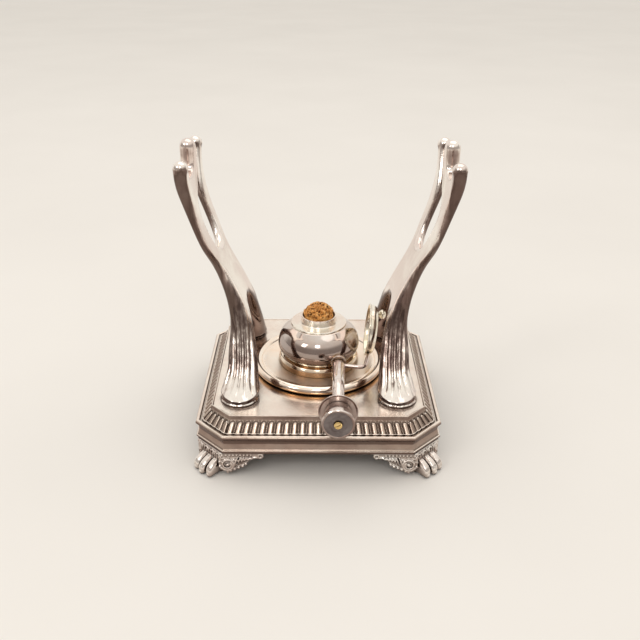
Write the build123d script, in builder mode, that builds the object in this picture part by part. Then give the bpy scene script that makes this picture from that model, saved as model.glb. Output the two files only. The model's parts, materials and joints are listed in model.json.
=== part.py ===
"""Silver-plated stand for a spirit kettle, with its spirit burner.

An eight-sided tray on four paw feet carries two pronged side supports, whose forks take the kettle's
pins, and a round pan that the burner stands in. The burner's snuffer cap is on an arm of the turning handle.

Millimetres, +Z up. The origin is on the table, under the centre of the pan. The burner's handle points to -Y.
"""

import os
from math import cos, radians, sin, sqrt

from build123d import *

os.makedirs("parts", exist_ok=True)

# ------------------------------------------------------------------ fits
SEAT_GAP = 0.2  # between a closed cap and what it closes on
RUNNING_FIT = 0.06  # radial clearance of the handle on its spindle
THREAD_FIT = 0.04  # radial clearance of a screw in its hole
SLIP_FIT = 0.3  # clearance round a part that lifts out or is packed in loosely

# ------------------------------------------------------------------ tray
BASE_WIDTH = 190.0  # across the flats
CORNER_CUT = 22.5  # length cut from each side at a corner
RIM_HEIGHT = 35.0  # table to the outer rim's lower line
APRON_DEPTH = 14.0  # rim line to the bottom edge
SHEET = 1.6  # wall of the tray
RIM_BEAD = 1.5  # radius of the rolled rim
RIM_SINK = 1.0  # how much lower than a full bead the rim's top is
RIM_LEDGE = 5.6  # rim edge to the foot of the flutes
FLUTE_RUN = 5.8  # horizontal reach of the fluted slope
FLUTE_RISE = 9.1
LIP_WIDTH = 1.9
PLATE_RISE = 12.0  # rim line to the flat plate
LIP_RISE = 0.7  # lip above the plate
COVE_DEPTH = 2.2  # hollow moulding of the apron
LOWER_BEAD = 1.2  # radius of the apron's lower bead
LOWER_FILLET = 1.0  # plain strip under the lower bead
FLUTES_LONG_SIDE = 23
FLUTES_CANTED_SIDE = 5
FLUTE_GROOVE = 0.8  # radius of the groove between two flutes

# ------------------------------------------------------------------ feet
PAW_REACH = 130.0  # centre of the tray to the toe tips, along the diagonal
TOE_RADIUS = 3.3
TOE_PITCH = 6.0
TOE_LENGTH = 12.0
TOES = 3
TOE_FLAT = 0.5  # cut off the underside of a toe
KNUCKLE_RISE = 2.5  # knuckle above the toe tip
ANKLE_ROUNDING = 3.0
ANKLE_LENGTH = 15.0  # along the diagonal
ANKLE_WIDTH = 19.0
LEAF_THICKNESS = 3.0  # leaf band under the canted apron
LEAF_DROP = 7.5
LEAF_GAP = 0.4  # line between two leaves
LEAF_RELIEF = 1.2
LEAF_BAND_MARGIN = 1.0  # end of the leaf band to the end of the canted edge
LEAVES = 5
WING_THICKNESS = 4.0
WING_LENGTH = 31.5  # corner to the tip of the bracket
WING_OVERLAP = 2.0  # bracket past the corner, behind the leaf band
WING_SCROLL_RADIUS = 6.4
WING_SCROLL_PLACE = 3.2  # corner to the scroll's centre
WING_SCROLL_DROP = 10.4  # apron's edge to the scroll's centre
WING_TIP_RADIUS = 2.6
PENDANT_RADIUS = 1.2
LOBE_RADIUS = 1.8
ROSETTE_RELIEF = 1.2
BOSS_RADIUS = 5.0  # screw boss under the plate, one for each foot
LUG_RADIUS = 6.0  # lug of a foot, under its boss
LUG_THICKNESS = 3.0
SCREW_RADIUS = 2.0
SCREW_HEAD_RADIUS = 3.8
SCREW_HEAD_HEIGHT = 2.2
SCREW_BITE = 8.0  # length of thread in the part that it holds
SLOT_WIDTH = 0.9  # screwdriver slot

# ------------------------------------------------------------------ pan
PAN_BEAD_CENTRE = 50.5  # radius of the bead's centre line
PAN_BEAD = 3.6  # radius of the bead
PAN_FLOOR_RISE = 4.5  # plate to the floor of the pan

# ------------------------------------------------------------------ side supports
LEG_SPREAD = 56.0  # Y of a leg's foot
PAD_MARGIN = 3.0  # round pad of a leg to the lip of the border
LEG_FOOT_RADIUS = 16.0
LEG_FOOT_HEIGHT = 17.0
LEG_HALF_WIDTH = 7.5  # Y direction
WAIST_HALF_WIDTH = 24.5
WAIST_RISE = 100.0  # rim line to the narrowest place
ARCH_RISE = 75.0  # rim line to the crown of the arch between the legs
CROTCH_RISE = 117.0  # rim line to the bottom of the slot between the front and the rear prong
OUTER_PRONG_Y = 38.0  # Y of an outer prong's ball
OUTER_PRONG_HALF_WIDTH = 5.0
OUTER_BALL_RISE = 190.0
OUTER_BALL_RADIUS = 5.7
FINGER_RADIUS = 6.1  # round finger that leans back from the front prong
FINGER_CORE = 4.5  # half the width of the flat stock inside it
FINGER_RISE = 196.7  # rim line to the middle of its round end
FINGER_ROOT_RISE = 155.0  # rim line to where it grows out of the front prong
FINGER_ROOT_RADIUS = 3.4
FINGER_ROOT_Y = 16.5  # how far forward of the middle its root is
FINGER_ROOT_REACH = 4.3  # and how far in from the tips
FINGER_SHOULDER_RISE = 177.0  # rim line to where it is full and upright
SLOT_FRONT = 13.0  # slot between the prongs: forward of the middle
SLOT_REAR = 19.0  # and behind it
NOTCH_RISE = 179.0  # rim line to the bottom of the notch between the front ball and the finger
NOTCH_Y = 17.0  # and how far forward of the middle that is
PRONG_TIP_X = 98.7
PRONG_THICKNESS = 9.6
PRONG_SPLAY = 7.0  # ball's middle to the prong's middle, half way down the fork
LEG_FLARE = 9.4  # a leg's outer edge at the plate, beyond the middle of its foot
SUPPORT_ROUNDING = 2.5
# where the support's two faces run, seen from the front
INNER_KNEE = 4.0  # inner face: how far out from the foot's inner edge it has come at the knee
INNER_WAIST = 13.0  # and at the waist
INNER_CROTCH = 15.2  # and how far it still is from the prongs' inner face at the crotch
INNER_FORK = 3.7  # and half way up the fork
OUTER_FORK = 6.3  # outer face: how far it still is from the prongs' outer face half way up the fork
OUTER_CROTCH = 18.3  # and at the crotch
OUTER_WAIST = 9.7  # and how far out from the foot's middle it is at the waist
OUTER_KNEE = 8.0  # and at the knee
OUTER_SHIN = 10.2  # and below the knee
CROTCH_BLEND = 3.0  # the faces are measured this far above the crotch

# ------------------------------------------------------------------ burner
FOOT_RADIUS = 33.0
FOOT_HEIGHT = 9.0
FOOT_WALL = 5.0  # upright part of the foot's edge
BOWL_WAIST = 27.5
BOWL_RADIUS = 33.6
BOWL_BELLY = 16.5  # seat to the widest place
BOWL_WALL = 1.2
TOP_RADIUS = 22.7
TOP_RISE = 35.7  # seat to the flat top
TOP_THICKNESS = 1.6
PLUG_WALL = 4.2  # wall of the top's plug, between the wick and the bowl's mouth
PLUG_DEPTH = 7.0
COLLAR_ROOM = 1.0  # between the wick and the collar
COLLAR_HEIGHT = 6.0
COLLAR_WALL = 1.2
WICK_RADIUS = 12.2
WICK_SHOWS = 10.5  # wick above the collar

# ------------------------------------------------------------------ handle
HANDLE_X = 16.6
HANDLE_RISE = 30.8  # rim line to the handle's axis
HANDLE_ANGLE = 1.5  # degrees that the handle points towards -X from -Y
SOCKET_LENGTH = 15.0
SOCKET_SHOWS = 1.0  # socket beyond the bowl
TUBE_END = 103.0  # from where the handle's axis is level with the pan's centre
FLANGE_THICKNESS = 1.8
KNOB_LENGTH = 16.0
TUBE_ROOT_RADIUS = 5.4
TUBE_TIP_RADIUS = 4.1
FLANGE_RADIUS = 14.6
KNOB_NECK_RADIUS = 9.8
KNOB_RADIUS = 12.2
SOCKET_RADIUS = 6.3
SPINDLE_RADIUS = 1.6
SPINDLE_HEAD_RADIUS = 3.3
SPINDLE_HEAD = 1.4
DISC_THICKNESS = 1.0  # plate in the end of the knob

# ------------------------------------------------------------------ snuffer
SWING = 96.0  # degrees from open to closed
CAP_MARGIN = 0.9  # cap's rim to the edge of the flat top
CAP_WALL = 0.8
CAP_SIDE_ROOM = 2.0  # collar to the cap's shoulder, outside
CAP_HEAD_ROOM = 1.0  # collar to the cap's shoulder, outside, upwards
CAP_CROWN = 0.8  # crown above the shoulder
ARM_RADIUS = 1.6
ARM_PLACE = 3.2  # end of the handle tube to the arm
ARM_REACH = 21.0  # handle axis to the arm's bend
ARM_BEND = 6.0
THUMB_OFFSET = 14.5  # cap centre to the thumb-piece
THUMB_RADIUS = 4.0
THUMB_NECK = 2.2
THUMB_LENGTH = 7.0

# ------------------------------------------------------------------ levels and places that follow
plate_top = RIM_HEIGHT + PLATE_RISE
plate_under = plate_top - SHEET
apron_bottom = RIM_HEIGHT - APRON_DEPTH
half_base = BASE_WIDTH / 2
canted_face = (BASE_WIDTH - CORNER_CUT) / sqrt(2)
seat = plate_top + PAN_FLOOR_RISE
flat_top = seat + TOP_RISE
collar_top = flat_top + COLLAR_HEIGHT
boss_bottom = apron_bottom + LUG_THICKNESS
wick_root = seat + FOOT_HEIGHT + BOWL_WALL
wick_bore = WICK_RADIUS + SLIP_FIT
plug_radius = wick_bore + PLUG_WALL
mouth_radius = plug_radius + SLIP_FIT
collar_inside = WICK_RADIUS + COLLAR_ROOM
collar_radius = collar_inside + COLLAR_WALL
socket_end = sqrt(BOWL_RADIUS**2 - (HANDLE_X - SOCKET_RADIUS) ** 2) + SOCKET_SHOWS
socket_start = socket_end - SOCKET_LENGTH
tube_start = socket_end + SLIP_FIT
arm_start = tube_start + ARM_PLACE
knob_start = TUBE_END + FLANGE_THICKNESS
knob_end = knob_start + KNOB_LENGTH
head_start = knob_end + SLIP_FIT
spindle_bore = SPINDLE_RADIUS + RUNNING_FIT
corners = {"front_left": 225, "front_right": 315, "back_right": 45, "back_left": 135}
flute_top_inset = RIM_LEDGE + FLUTE_RUN
lip_inset = flute_top_inset + LIP_WIDTH
plate_half = half_base - lip_inset - LIP_RISE
leg_foot_x = plate_half - PAD_MARGIN - LEG_FOOT_RADIUS
support_feet = {
    "front_left": (-leg_foot_x, -LEG_SPREAD),
    "front_right": (leg_foot_x, -LEG_SPREAD),
    "back_right": (leg_foot_x, LEG_SPREAD),
    "back_left": (-leg_foot_x, LEG_SPREAD),
}
path_corner = half_base - CORNER_CUT
path_half_canted = CORNER_CUT / sqrt(2)
ankle_back = canted_face - LOWER_BEAD - ANKLE_LENGTH
boss_reach = ankle_back - LUG_RADIUS
lug_end = ankle_back + ANKLE_LENGTH / 2


def octagon(inset):
    """Outline of the tray, moved in by an even margin, in the current sketch."""
    Rectangle(BASE_WIDTH - 2 * inset, BASE_WIDTH - 2 * inset)
    # a canted edge moves in by the same margin as a straight one
    chamfer(vertices(), CORNER_CUT - (2 - sqrt(2)) * inset)


def outward_plane(angle, distance, height):
    """Upright plane facing away from the tray's centre: x along the side, y up, z outward."""
    up = Vector(0, 0, 1)
    outward = Vector(cos(radians(angle)), sin(radians(angle)), 0)
    return Plane(outward * distance + up * height, x_dir=up.cross(outward), z_dir=outward)


def diagonal_plane(angle, height):
    """Level plane under the tray's centre: x points out through a corner."""
    return Plane((0, 0, height), x_dir=(cos(radians(angle)), sin(radians(angle)), 0), z_dir=(0, 0, 1))


# ------------------------------------------------------------------ tray
# The border is one section, followed round the edge: x is inward from the edge, y is up from the rim line.
with BuildLine(Plane.XY.offset(RIM_HEIGHT)) as edge_path:
    Polyline(
        (0, -half_base),
        (path_corner, -half_base),
        (half_base, -path_corner),
        (half_base, path_corner),
        (path_corner, half_base),
        (-path_corner, half_base),
        (-half_base, path_corner),
        (-half_base, -path_corner),
        (-path_corner, -half_base),
        (0, -half_base),
    )
section_plane = Plane((0, -half_base, RIM_HEIGHT), x_dir=(0, 1, 0), z_dir=(1, 0, 0))
rim_top = 2 * RIM_BEAD - RIM_SINK
ledge_rise = rim_top - RIM_BEAD
bead_foot = (RIM_BEAD, -RIM_BEAD)
lower_edge = (LOWER_BEAD, LOWER_FILLET - APRON_DEPTH)
lower_crest = (0, LOWER_BEAD + LOWER_FILLET - APRON_DEPTH)
cove_foot = (LOWER_BEAD, 2 * LOWER_BEAD + LOWER_FILLET - APRON_DEPTH)

with BuildPart() as base_tray:
    with BuildSketch(section_plane):
        with BuildLine():
            Line((LOWER_BEAD, -APRON_DEPTH), lower_edge)
            ThreePointArc(lower_edge, lower_crest, cove_foot)
            ThreePointArc(cove_foot, (COVE_DEPTH, -APRON_DEPTH / 2), bead_foot)
            ThreePointArc(bead_foot, (0, 0), (RIM_BEAD, rim_top))
            Line((RIM_BEAD, rim_top), (2 * RIM_BEAD, ledge_rise))
            Polyline(
                (2 * RIM_BEAD, ledge_rise),
                (RIM_LEDGE, ledge_rise),
                (flute_top_inset, ledge_rise + FLUTE_RISE),
                (flute_top_inset + LIP_WIDTH / 4, PLATE_RISE + LIP_RISE),
                (lip_inset, PLATE_RISE + LIP_RISE),
                (lip_inset + LIP_RISE, PLATE_RISE),
                (lip_inset + LIP_RISE, PLATE_RISE - SHEET),
                (flute_top_inset + SHEET, PLATE_RISE - SHEET),
                (RIM_LEDGE + SHEET, ledge_rise - SHEET),
                (2 * RIM_BEAD + SHEET, ledge_rise - SHEET),
                (COVE_DEPTH + SHEET, -APRON_DEPTH / 2),
                (LOWER_BEAD + SHEET, -APRON_DEPTH),
                (LOWER_BEAD, -APRON_DEPTH),
            )
        make_face()
    sweep(path=edge_path.line, transition=Transition.RIGHT)
    with BuildSketch(Plane.XY.offset(plate_under)):
        octagon(flute_top_inset + SHEET)
    extrude(amount=SHEET)
    # grooves between the flutes, each along the slope of the border
    slope_length = sqrt(FLUTE_RUN**2 + FLUTE_RISE**2)
    slope_inset = RIM_LEDGE + FLUTE_RUN / 2
    slope_middle = RIM_HEIGHT + ledge_rise + FLUTE_RISE / 2
    long_side = BASE_WIDTH - 2 * slope_inset - 2 * (CORNER_CUT - (2 - sqrt(2)) * slope_inset)
    canted_side = sqrt(2) * (CORNER_CUT - (2 - sqrt(2)) * slope_inset)
    for angle in range(0, 360, 45):
        if angle % 90 == 0:
            distance, length, flutes = half_base - slope_inset, long_side, FLUTES_LONG_SIDE
        else:
            distance, length, flutes = canted_face - slope_inset, canted_side, FLUTES_CANTED_SIDE
        side = outward_plane(angle, distance, slope_middle)
        along = side.x_dir
        up_slope = (side.y_dir * FLUTE_RISE - side.z_dir * FLUTE_RUN).normalized()
        offsets = [length * (n / flutes - 0.5) for n in range(1, flutes)]
        grooves = [Plane(side.origin + along * n, x_dir=along, z_dir=up_slope) for n in offsets]
        with Locations(*grooves):
            Cylinder(FLUTE_GROOVE, slope_length - 2 * FLUTE_GROOVE, mode=Mode.SUBTRACT)
    # screw bosses for the feet, with their blind holes
    with BuildSketch(Plane.XY.offset(boss_bottom)):
        with PolarLocations(boss_reach, len(corners), start_angle=45):
            Circle(BOSS_RADIUS)
    extrude(until=Until.NEXT)
    with BuildSketch(Plane.XY.offset(boss_bottom)):
        with PolarLocations(boss_reach, len(corners), start_angle=45):
            Circle(SCREW_RADIUS + THREAD_FIT)
    extrude(amount=SCREW_BITE + SLIP_FIT, mode=Mode.SUBTRACT)
    # clearance holes for the screws that hold the supports and the pan
    with BuildSketch(Plane.XY.offset(plate_under)):
        with Locations((0, 0), *support_feet.values()):
            Circle(SCREW_RADIUS + THREAD_FIT)
    extrude(amount=SHEET, mode=Mode.SUBTRACT)
base_tray.part.label = "base_tray"
export_step(base_tray.part, "parts/base_tray.step")

# ------------------------------------------------------------------ paw feet
# Bracket outline on a side of the tray: x from the corner along the side, y down from the apron.
pendant_drop = WING_SCROLL_RADIUS + WING_SCROLL_DROP + PENDANT_RADIUS / 2
wing_inset = LOWER_BEAD + THREAD_FIT
wing_root = (-WING_OVERLAP, 0)
wing_corner = (WING_LENGTH - WING_TIP_RADIUS / 2, 0)
wing_tip = (WING_LENGTH - WING_TIP_RADIUS / 2, WING_TIP_RADIUS)
wing_heel = (WING_SCROLL_PLACE + WING_SCROLL_RADIUS / 2, 0.85 * pendant_drop)


def wing(plane, corner, toward):
    """Scrolled bracket on a side of the tray, from the corner at x toward (+1 or -1) the side's middle."""

    def at(along, drop):
        return (corner + toward * along, -drop)

    with BuildSketch(plane) as bracket:
        with BuildLine():
            Polyline(at(*wing_root), at(*wing_corner), at(*wing_tip))
            Spline(
                at(*wing_tip),
                at(WING_LENGTH - 3 * WING_TIP_RADIUS, 2 * WING_TIP_RADIUS),
                at(WING_LENGTH / 2, 0.6 * pendant_drop),
                at(*wing_heel),
            )
            Polyline(at(*wing_heel), at(-WING_OVERLAP, pendant_drop / 2), at(*wing_root))
        make_face()
        with Locations(at(WING_SCROLL_PLACE, WING_SCROLL_DROP)):
            Circle(WING_SCROLL_RADIUS)
        with Locations(at(WING_LENGTH - WING_TIP_RADIUS, WING_TIP_RADIUS)):
            Circle(WING_TIP_RADIUS)
        with Locations(at(WING_LENGTH / 2, 0.6 * pendant_drop), at(WING_LENGTH / 3, 0.72 * pendant_drop)):
            Circle(LOBE_RADIUS)
        with Locations(at(WING_SCROLL_PLACE, pendant_drop)):
            Circle(PENDANT_RADIUS)
    extrude(bracket.sketch, amount=-WING_THICKNESS)
    # raised rosette on the scroll
    with BuildSketch(plane) as rosette:
        with Locations(at(WING_SCROLL_PLACE, WING_SCROLL_DROP)):
            Circle(0.85 * WING_SCROLL_RADIUS)
            Circle(0.6 * WING_SCROLL_RADIUS, mode=Mode.SUBTRACT)
            Circle(0.3 * WING_SCROLL_RADIUS)
    extrude(rosette.sketch, amount=ROSETTE_RELIEF)


def is_ankle_corner(edge):
    """True of the four sloping edges of the ankle."""
    return TOE_FLAT < edge.center().Z < apron_bottom - TOE_FLAT


for name, angle in corners.items():
    leaf_face = outward_plane(angle, canted_face - LOWER_BEAD, apron_bottom)
    leaf_band = 2 * (path_half_canted - LEAF_BAND_MARGIN)
    leaf_pitch = leaf_band / LEAVES
    with BuildPart() as paw_foot:
        # ankle, from the apron's edge down to the paw
        with BuildSketch(diagonal_plane(angle, apron_bottom)):
            with Locations((canted_face - LOWER_BEAD - ANKLE_LENGTH / 2, 0)):
                Rectangle(ANKLE_LENGTH, ANKLE_WIDTH)
        with BuildSketch(diagonal_plane(angle, 0)):
            with Locations((PAW_REACH - TOE_LENGTH - ANKLE_LENGTH / 2, 0)):
                Rectangle(ANKLE_LENGTH, TOES * TOE_PITCH - 2 * TOE_FLAT)
        loft()
        fillet(edges().filter_by(is_ankle_corner), ANKLE_ROUNDING)
        # toes, side by side, cut flat underneath
        for toe in range(TOES):
            place = diagonal_plane(angle, TOE_RADIUS - TOE_FLAT)
            sideways = (toe - (TOES - 1) / 2) * TOE_PITCH
            tip = place.from_local_coords((PAW_REACH - TOE_RADIUS - abs(sideways) / TOE_PITCH, sideways, 0))
            knuckle = (PAW_REACH - TOE_LENGTH - TOE_RADIUS, 0.8 * sideways, KNUCKLE_RISE)
            root = place.from_local_coords(knuckle)
            with Locations(tip):
                Sphere(TOE_RADIUS)
            with BuildSketch(Plane(tip, z_dir=root - tip)):
                Circle(TOE_RADIUS)
            with BuildSketch(Plane(root, z_dir=root - tip)):
                Circle(1.4 * TOE_RADIUS)
            loft()
        split(bisect_by=Plane.XY, keep=Keep.TOP)
        # leaf band that covers the ankle under the canted apron
        with BuildSketch(leaf_face):
            with Locations((0, -LEAF_DROP / 2)):
                Rectangle(leaf_band, LEAF_DROP)
        extrude(amount=-LEAF_THICKNESS)
        with BuildSketch(leaf_face):
            for leaf in range(LEAVES):
                leaf_x = (leaf - (LEAVES - 1) / 2) * leaf_pitch
                with Locations((leaf_x, -LEAF_DROP)):
                    Circle((leaf_pitch - LEAF_GAP) / 2)
                with Locations((leaf_x, -LEAF_DROP / 2)):
                    Rectangle(leaf_pitch - LEAF_GAP, LEAF_DROP)
        extrude(amount=LEAF_RELIEF)
        # brackets along both sides
        for side, toward in ((45, 1), (-45, -1)):
            plane = outward_plane(angle + side, half_base - wing_inset, apron_bottom)
            wing(plane, -toward * path_corner, toward)
        # lug under the screw boss
        with BuildSketch(diagonal_plane(angle, apron_bottom)):
            with Locations((boss_reach, 0)):
                Circle(LUG_RADIUS)
            with Locations(((boss_reach + lug_end) / 2, 0)):
                Rectangle(lug_end - boss_reach, 2 * LUG_RADIUS)
            with Locations((boss_reach, 0)):
                Circle(SCREW_RADIUS + THREAD_FIT, mode=Mode.SUBTRACT)
        extrude(amount=LUG_THICKNESS)
    paw_foot.part.label = "foot_" + name
    export_step(paw_foot.part, f"parts/foot_{name}.step")


def slotted_screw(head_base, radius, bite):
    """Screw on the Z axis, in the current part: head below the level head_base, shank above it."""
    with Locations((0, 0, head_base)):
        Cylinder(SCREW_HEAD_RADIUS, SCREW_HEAD_HEIGHT, align=(Align.CENTER, Align.CENTER, Align.MAX))
        Cylinder(radius, bite, align=(Align.CENTER, Align.CENTER, Align.MIN))
    with Locations((0, 0, head_base - SCREW_HEAD_HEIGHT)):
        Box(2 * SCREW_HEAD_RADIUS, SLOT_WIDTH, SCREW_HEAD_HEIGHT, mode=Mode.SUBTRACT)


for name, angle in corners.items():
    with BuildPart() as foot_screw:
        slotted_screw(apron_bottom, SCREW_RADIUS, LUG_THICKNESS + SCREW_BITE)
    boss = diagonal_plane(angle, 0).from_local_coords((boss_reach, 0, 0))
    foot_screw.part = foot_screw.part.moved(Location(boss))
    foot_screw.part.label = "foot_screw_" + name
    export_step(foot_screw.part, f"parts/foot_screw_{name}.step")

# ------------------------------------------------------------------ burner pan
pan_hole_depth = PAN_FLOOR_RISE - SHEET
with BuildPart() as burner_pan:
    with BuildSketch(Plane.XZ):
        with Locations((PAN_BEAD_CENTRE, plate_top + PAN_BEAD)):
            Circle(PAN_BEAD)
        with Locations((PAN_BEAD_CENTRE / 2, plate_top)):
            Rectangle(PAN_BEAD_CENTRE, PAN_FLOOR_RISE, align=(Align.CENTER, Align.MIN))
    revolve(axis=Axis.Z)
    with BuildSketch(Plane.XY.offset(plate_top)):
        Circle(SCREW_RADIUS + THREAD_FIT)
    extrude(amount=pan_hole_depth, mode=Mode.SUBTRACT)
burner_pan.part.label = "burner_pan"
export_step(burner_pan.part, "parts/burner_pan.step")

with BuildPart() as pan_screw:
    slotted_screw(plate_under, SCREW_RADIUS, SHEET + pan_hole_depth - SLIP_FIT)
pan_screw.part.label = "pan_screw"
export_step(pan_screw.part, "parts/pan_screw.step")

# ------------------------------------------------------------------ side supports
# A support is the common part of two outlines: the side view, in Y and Z, and the front view, in X and Z.
waist = RIM_HEIGHT + WAIST_RISE
arch_top = RIM_HEIGHT + ARCH_RISE
crotch = RIM_HEIGHT + CROTCH_RISE
outer_ball = RIM_HEIGHT + OUTER_BALL_RISE
finger_end = RIM_HEIGHT + FINGER_RISE
finger_root = RIM_HEIGHT + FINGER_ROOT_RISE
finger_shoulder = RIM_HEIGHT + FINGER_SHOULDER_RISE
notch_bottom = RIM_HEIGHT + NOTCH_RISE
leg_height = waist - plate_top
pad_top = plate_top + LEG_FOOT_HEIGHT
half_fork = (crotch + outer_ball) / 2
leg_foot_y = LEG_SPREAD + LEG_FLARE
prong_inner_y = OUTER_PRONG_Y - OUTER_PRONG_HALF_WIDTH
prong_y = OUTER_PRONG_Y - PRONG_SPLAY
reach_x = PRONG_TIP_X + PRONG_THICKNESS
reach_y = leg_foot_y + LEG_HALF_WIDTH


def leg_outer_y(rise):
    """Y of a leg's outer edge, at a height above the plate: a parabola that ends upright at the waist."""
    return WAIST_HALF_WIDTH + (leg_foot_y - WAIST_HALF_WIDTH) * (1 - rise / leg_height) ** 2


def outside():
    """Outline of the support in Y and Z, without the arch, the slot and the notch."""
    with BuildSketch(Plane.YZ) as view:
        with BuildLine():
            edge = prong_y + OUTER_PRONG_HALF_WIDTH
            shoulder = (OUTER_PRONG_Y + OUTER_PRONG_HALF_WIDTH, outer_ball - OUTER_BALL_RADIUS / 2)
            rises = [part * leg_height for part in (0, 0.25, 0.5, 1)]
            leg = [(leg_outer_y(rise), plate_top + rise) for rise in rises]
            Spline(*leg, tangents=[(-1, 0.8), (0, 1)])
            Spline(
                leg[-1],
                (0.95 * edge, (waist + half_fork) / 2),
                (edge, half_fork + OUTER_BALL_RADIUS),
                shoulder,
                tangents=[(0, 1), (0.3, 1)],
            )
            Polyline(
                shoulder,
                (OUTER_PRONG_Y, outer_ball),
                (FINGER_CORE, outer_ball),
                (FINGER_CORE, finger_end),
                (0, finger_end),
                (0, plate_top),
                leg[0],
            )
        make_face()
        mirror(about=Plane.YZ)
    return view.sketch


def arch():
    """Opening between the two legs, in Y and Z."""
    with BuildSketch(Plane.YZ) as view:
        with BuildLine():
            quarter = (arch_top - plate_top) / 4
            rises = [n * quarter for n in range(3)]
            legs = [(leg_outer_y(rise) - 2 * LEG_HALF_WIDTH, plate_top + rise) for rise in rises]
            under_crown = (0.7 * legs[-1][0], arch_top - quarter)
            Spline(*legs, under_crown, (0, arch_top), tangents=[(-1, 0.8), (-1, 0)])
            Polyline((0, arch_top), (0, plate_top), legs[0])
        make_face()
        mirror(about=Plane.YZ)
    return view.sketch


def slot():
    """Opening between the front and the rear prong, in Y and Z. The finger hangs over it from the front."""
    with BuildSketch(Plane.YZ) as view:
        with BuildLine():
            bottom = ((SLOT_REAR - SLOT_FRONT) / 2, crotch)
            wide = crotch + SLOT_REAR
            Spline(
                (prong_inner_y, outer_ball),
                (SLOT_REAR, half_fork),
                (SLOT_REAR, wide),
                bottom,
                tangents=[(-0.3, -1), (-1, 0)],
            )
            Spline(
                bottom,
                (-SLOT_FRONT, wide),
                (-SLOT_FRONT, finger_root),
                (0, (finger_root + finger_shoulder) / 2),
                (FINGER_CORE, finger_shoulder),
                tangents=[(-1, 0), (0, 1)],
            )
            Polyline(
                (FINGER_CORE, finger_shoulder),
                (FINGER_CORE, finger_end + FINGER_RADIUS),
                (prong_inner_y, finger_end + FINGER_RADIUS),
                (prong_inner_y, outer_ball),
            )
        make_face()
    return view.sketch


def notch():
    """Shallow gap between the front ball and the finger, in Y and Z."""
    with BuildSketch(Plane.YZ) as view:
        with BuildLine():
            Spline(
                (-prong_inner_y, outer_ball),
                (-NOTCH_Y, notch_bottom),
                (-FINGER_CORE, outer_ball),
                tangents=[(0.3, -1), (0, 1)],
            )
            Polyline(
                (-FINGER_CORE, outer_ball),
                (-FINGER_CORE, finger_end + FINGER_RADIUS),
                (-prong_inner_y, finger_end + FINGER_RADIUS),
                (-prong_inner_y, outer_ball),
            )
        make_face()
    return view.sketch


def bend(side):
    """Band between the inner and the outer face of the support on a side (+1 or -1), in X and Z."""
    inside_x = PRONG_TIP_X - PRONG_THICKNESS / 2
    outside_x = PRONG_TIP_X + PRONG_THICKNESS / 2
    inside_foot = leg_foot_x - LEG_FOOT_RADIUS
    neck = outer_ball - 2 * OUTER_BALL_RADIUS
    inner = [
        (inside_foot, plate_top),
        (inside_foot + INNER_KNEE, plate_top + 0.43 * leg_height),
        (inside_foot + INNER_WAIST, plate_top + 0.77 * leg_height),
        (inside_x - INNER_CROTCH, crotch + CROTCH_BLEND),
        (inside_x - INNER_FORK, half_fork),
        (inside_x, neck),
        (inside_x, finger_end),
    ]
    outer = [
        (outside_x, finger_end),
        (outside_x, neck),
        (outside_x - OUTER_FORK, half_fork),
        (outside_x - OUTER_CROTCH, crotch + CROTCH_BLEND),
        (leg_foot_x + OUTER_WAIST, plate_top + 0.77 * leg_height),
        (leg_foot_x + OUTER_KNEE, plate_top + 0.5 * leg_height),
        (leg_foot_x + OUTER_SHIN, plate_top + 0.3 * leg_height),
        (leg_foot_x + LEG_FOOT_RADIUS, plate_top),
    ]
    inner = [(side * x, z) for x, z in inner]
    outer = [(side * x, z) for x, z in outer]
    with BuildSketch(Plane.XZ.offset(-reach_y)) as view:
        with BuildLine():
            Spline(*inner, tangents=[(0, 1), (0, 1)])
            Line(inner[-1], outer[0])
            Spline(*outer, tangents=[(0, -1), (0.8 * side, -1)])
            Line(outer[-1], inner[0])
        make_face()
    return view.sketch


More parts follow.
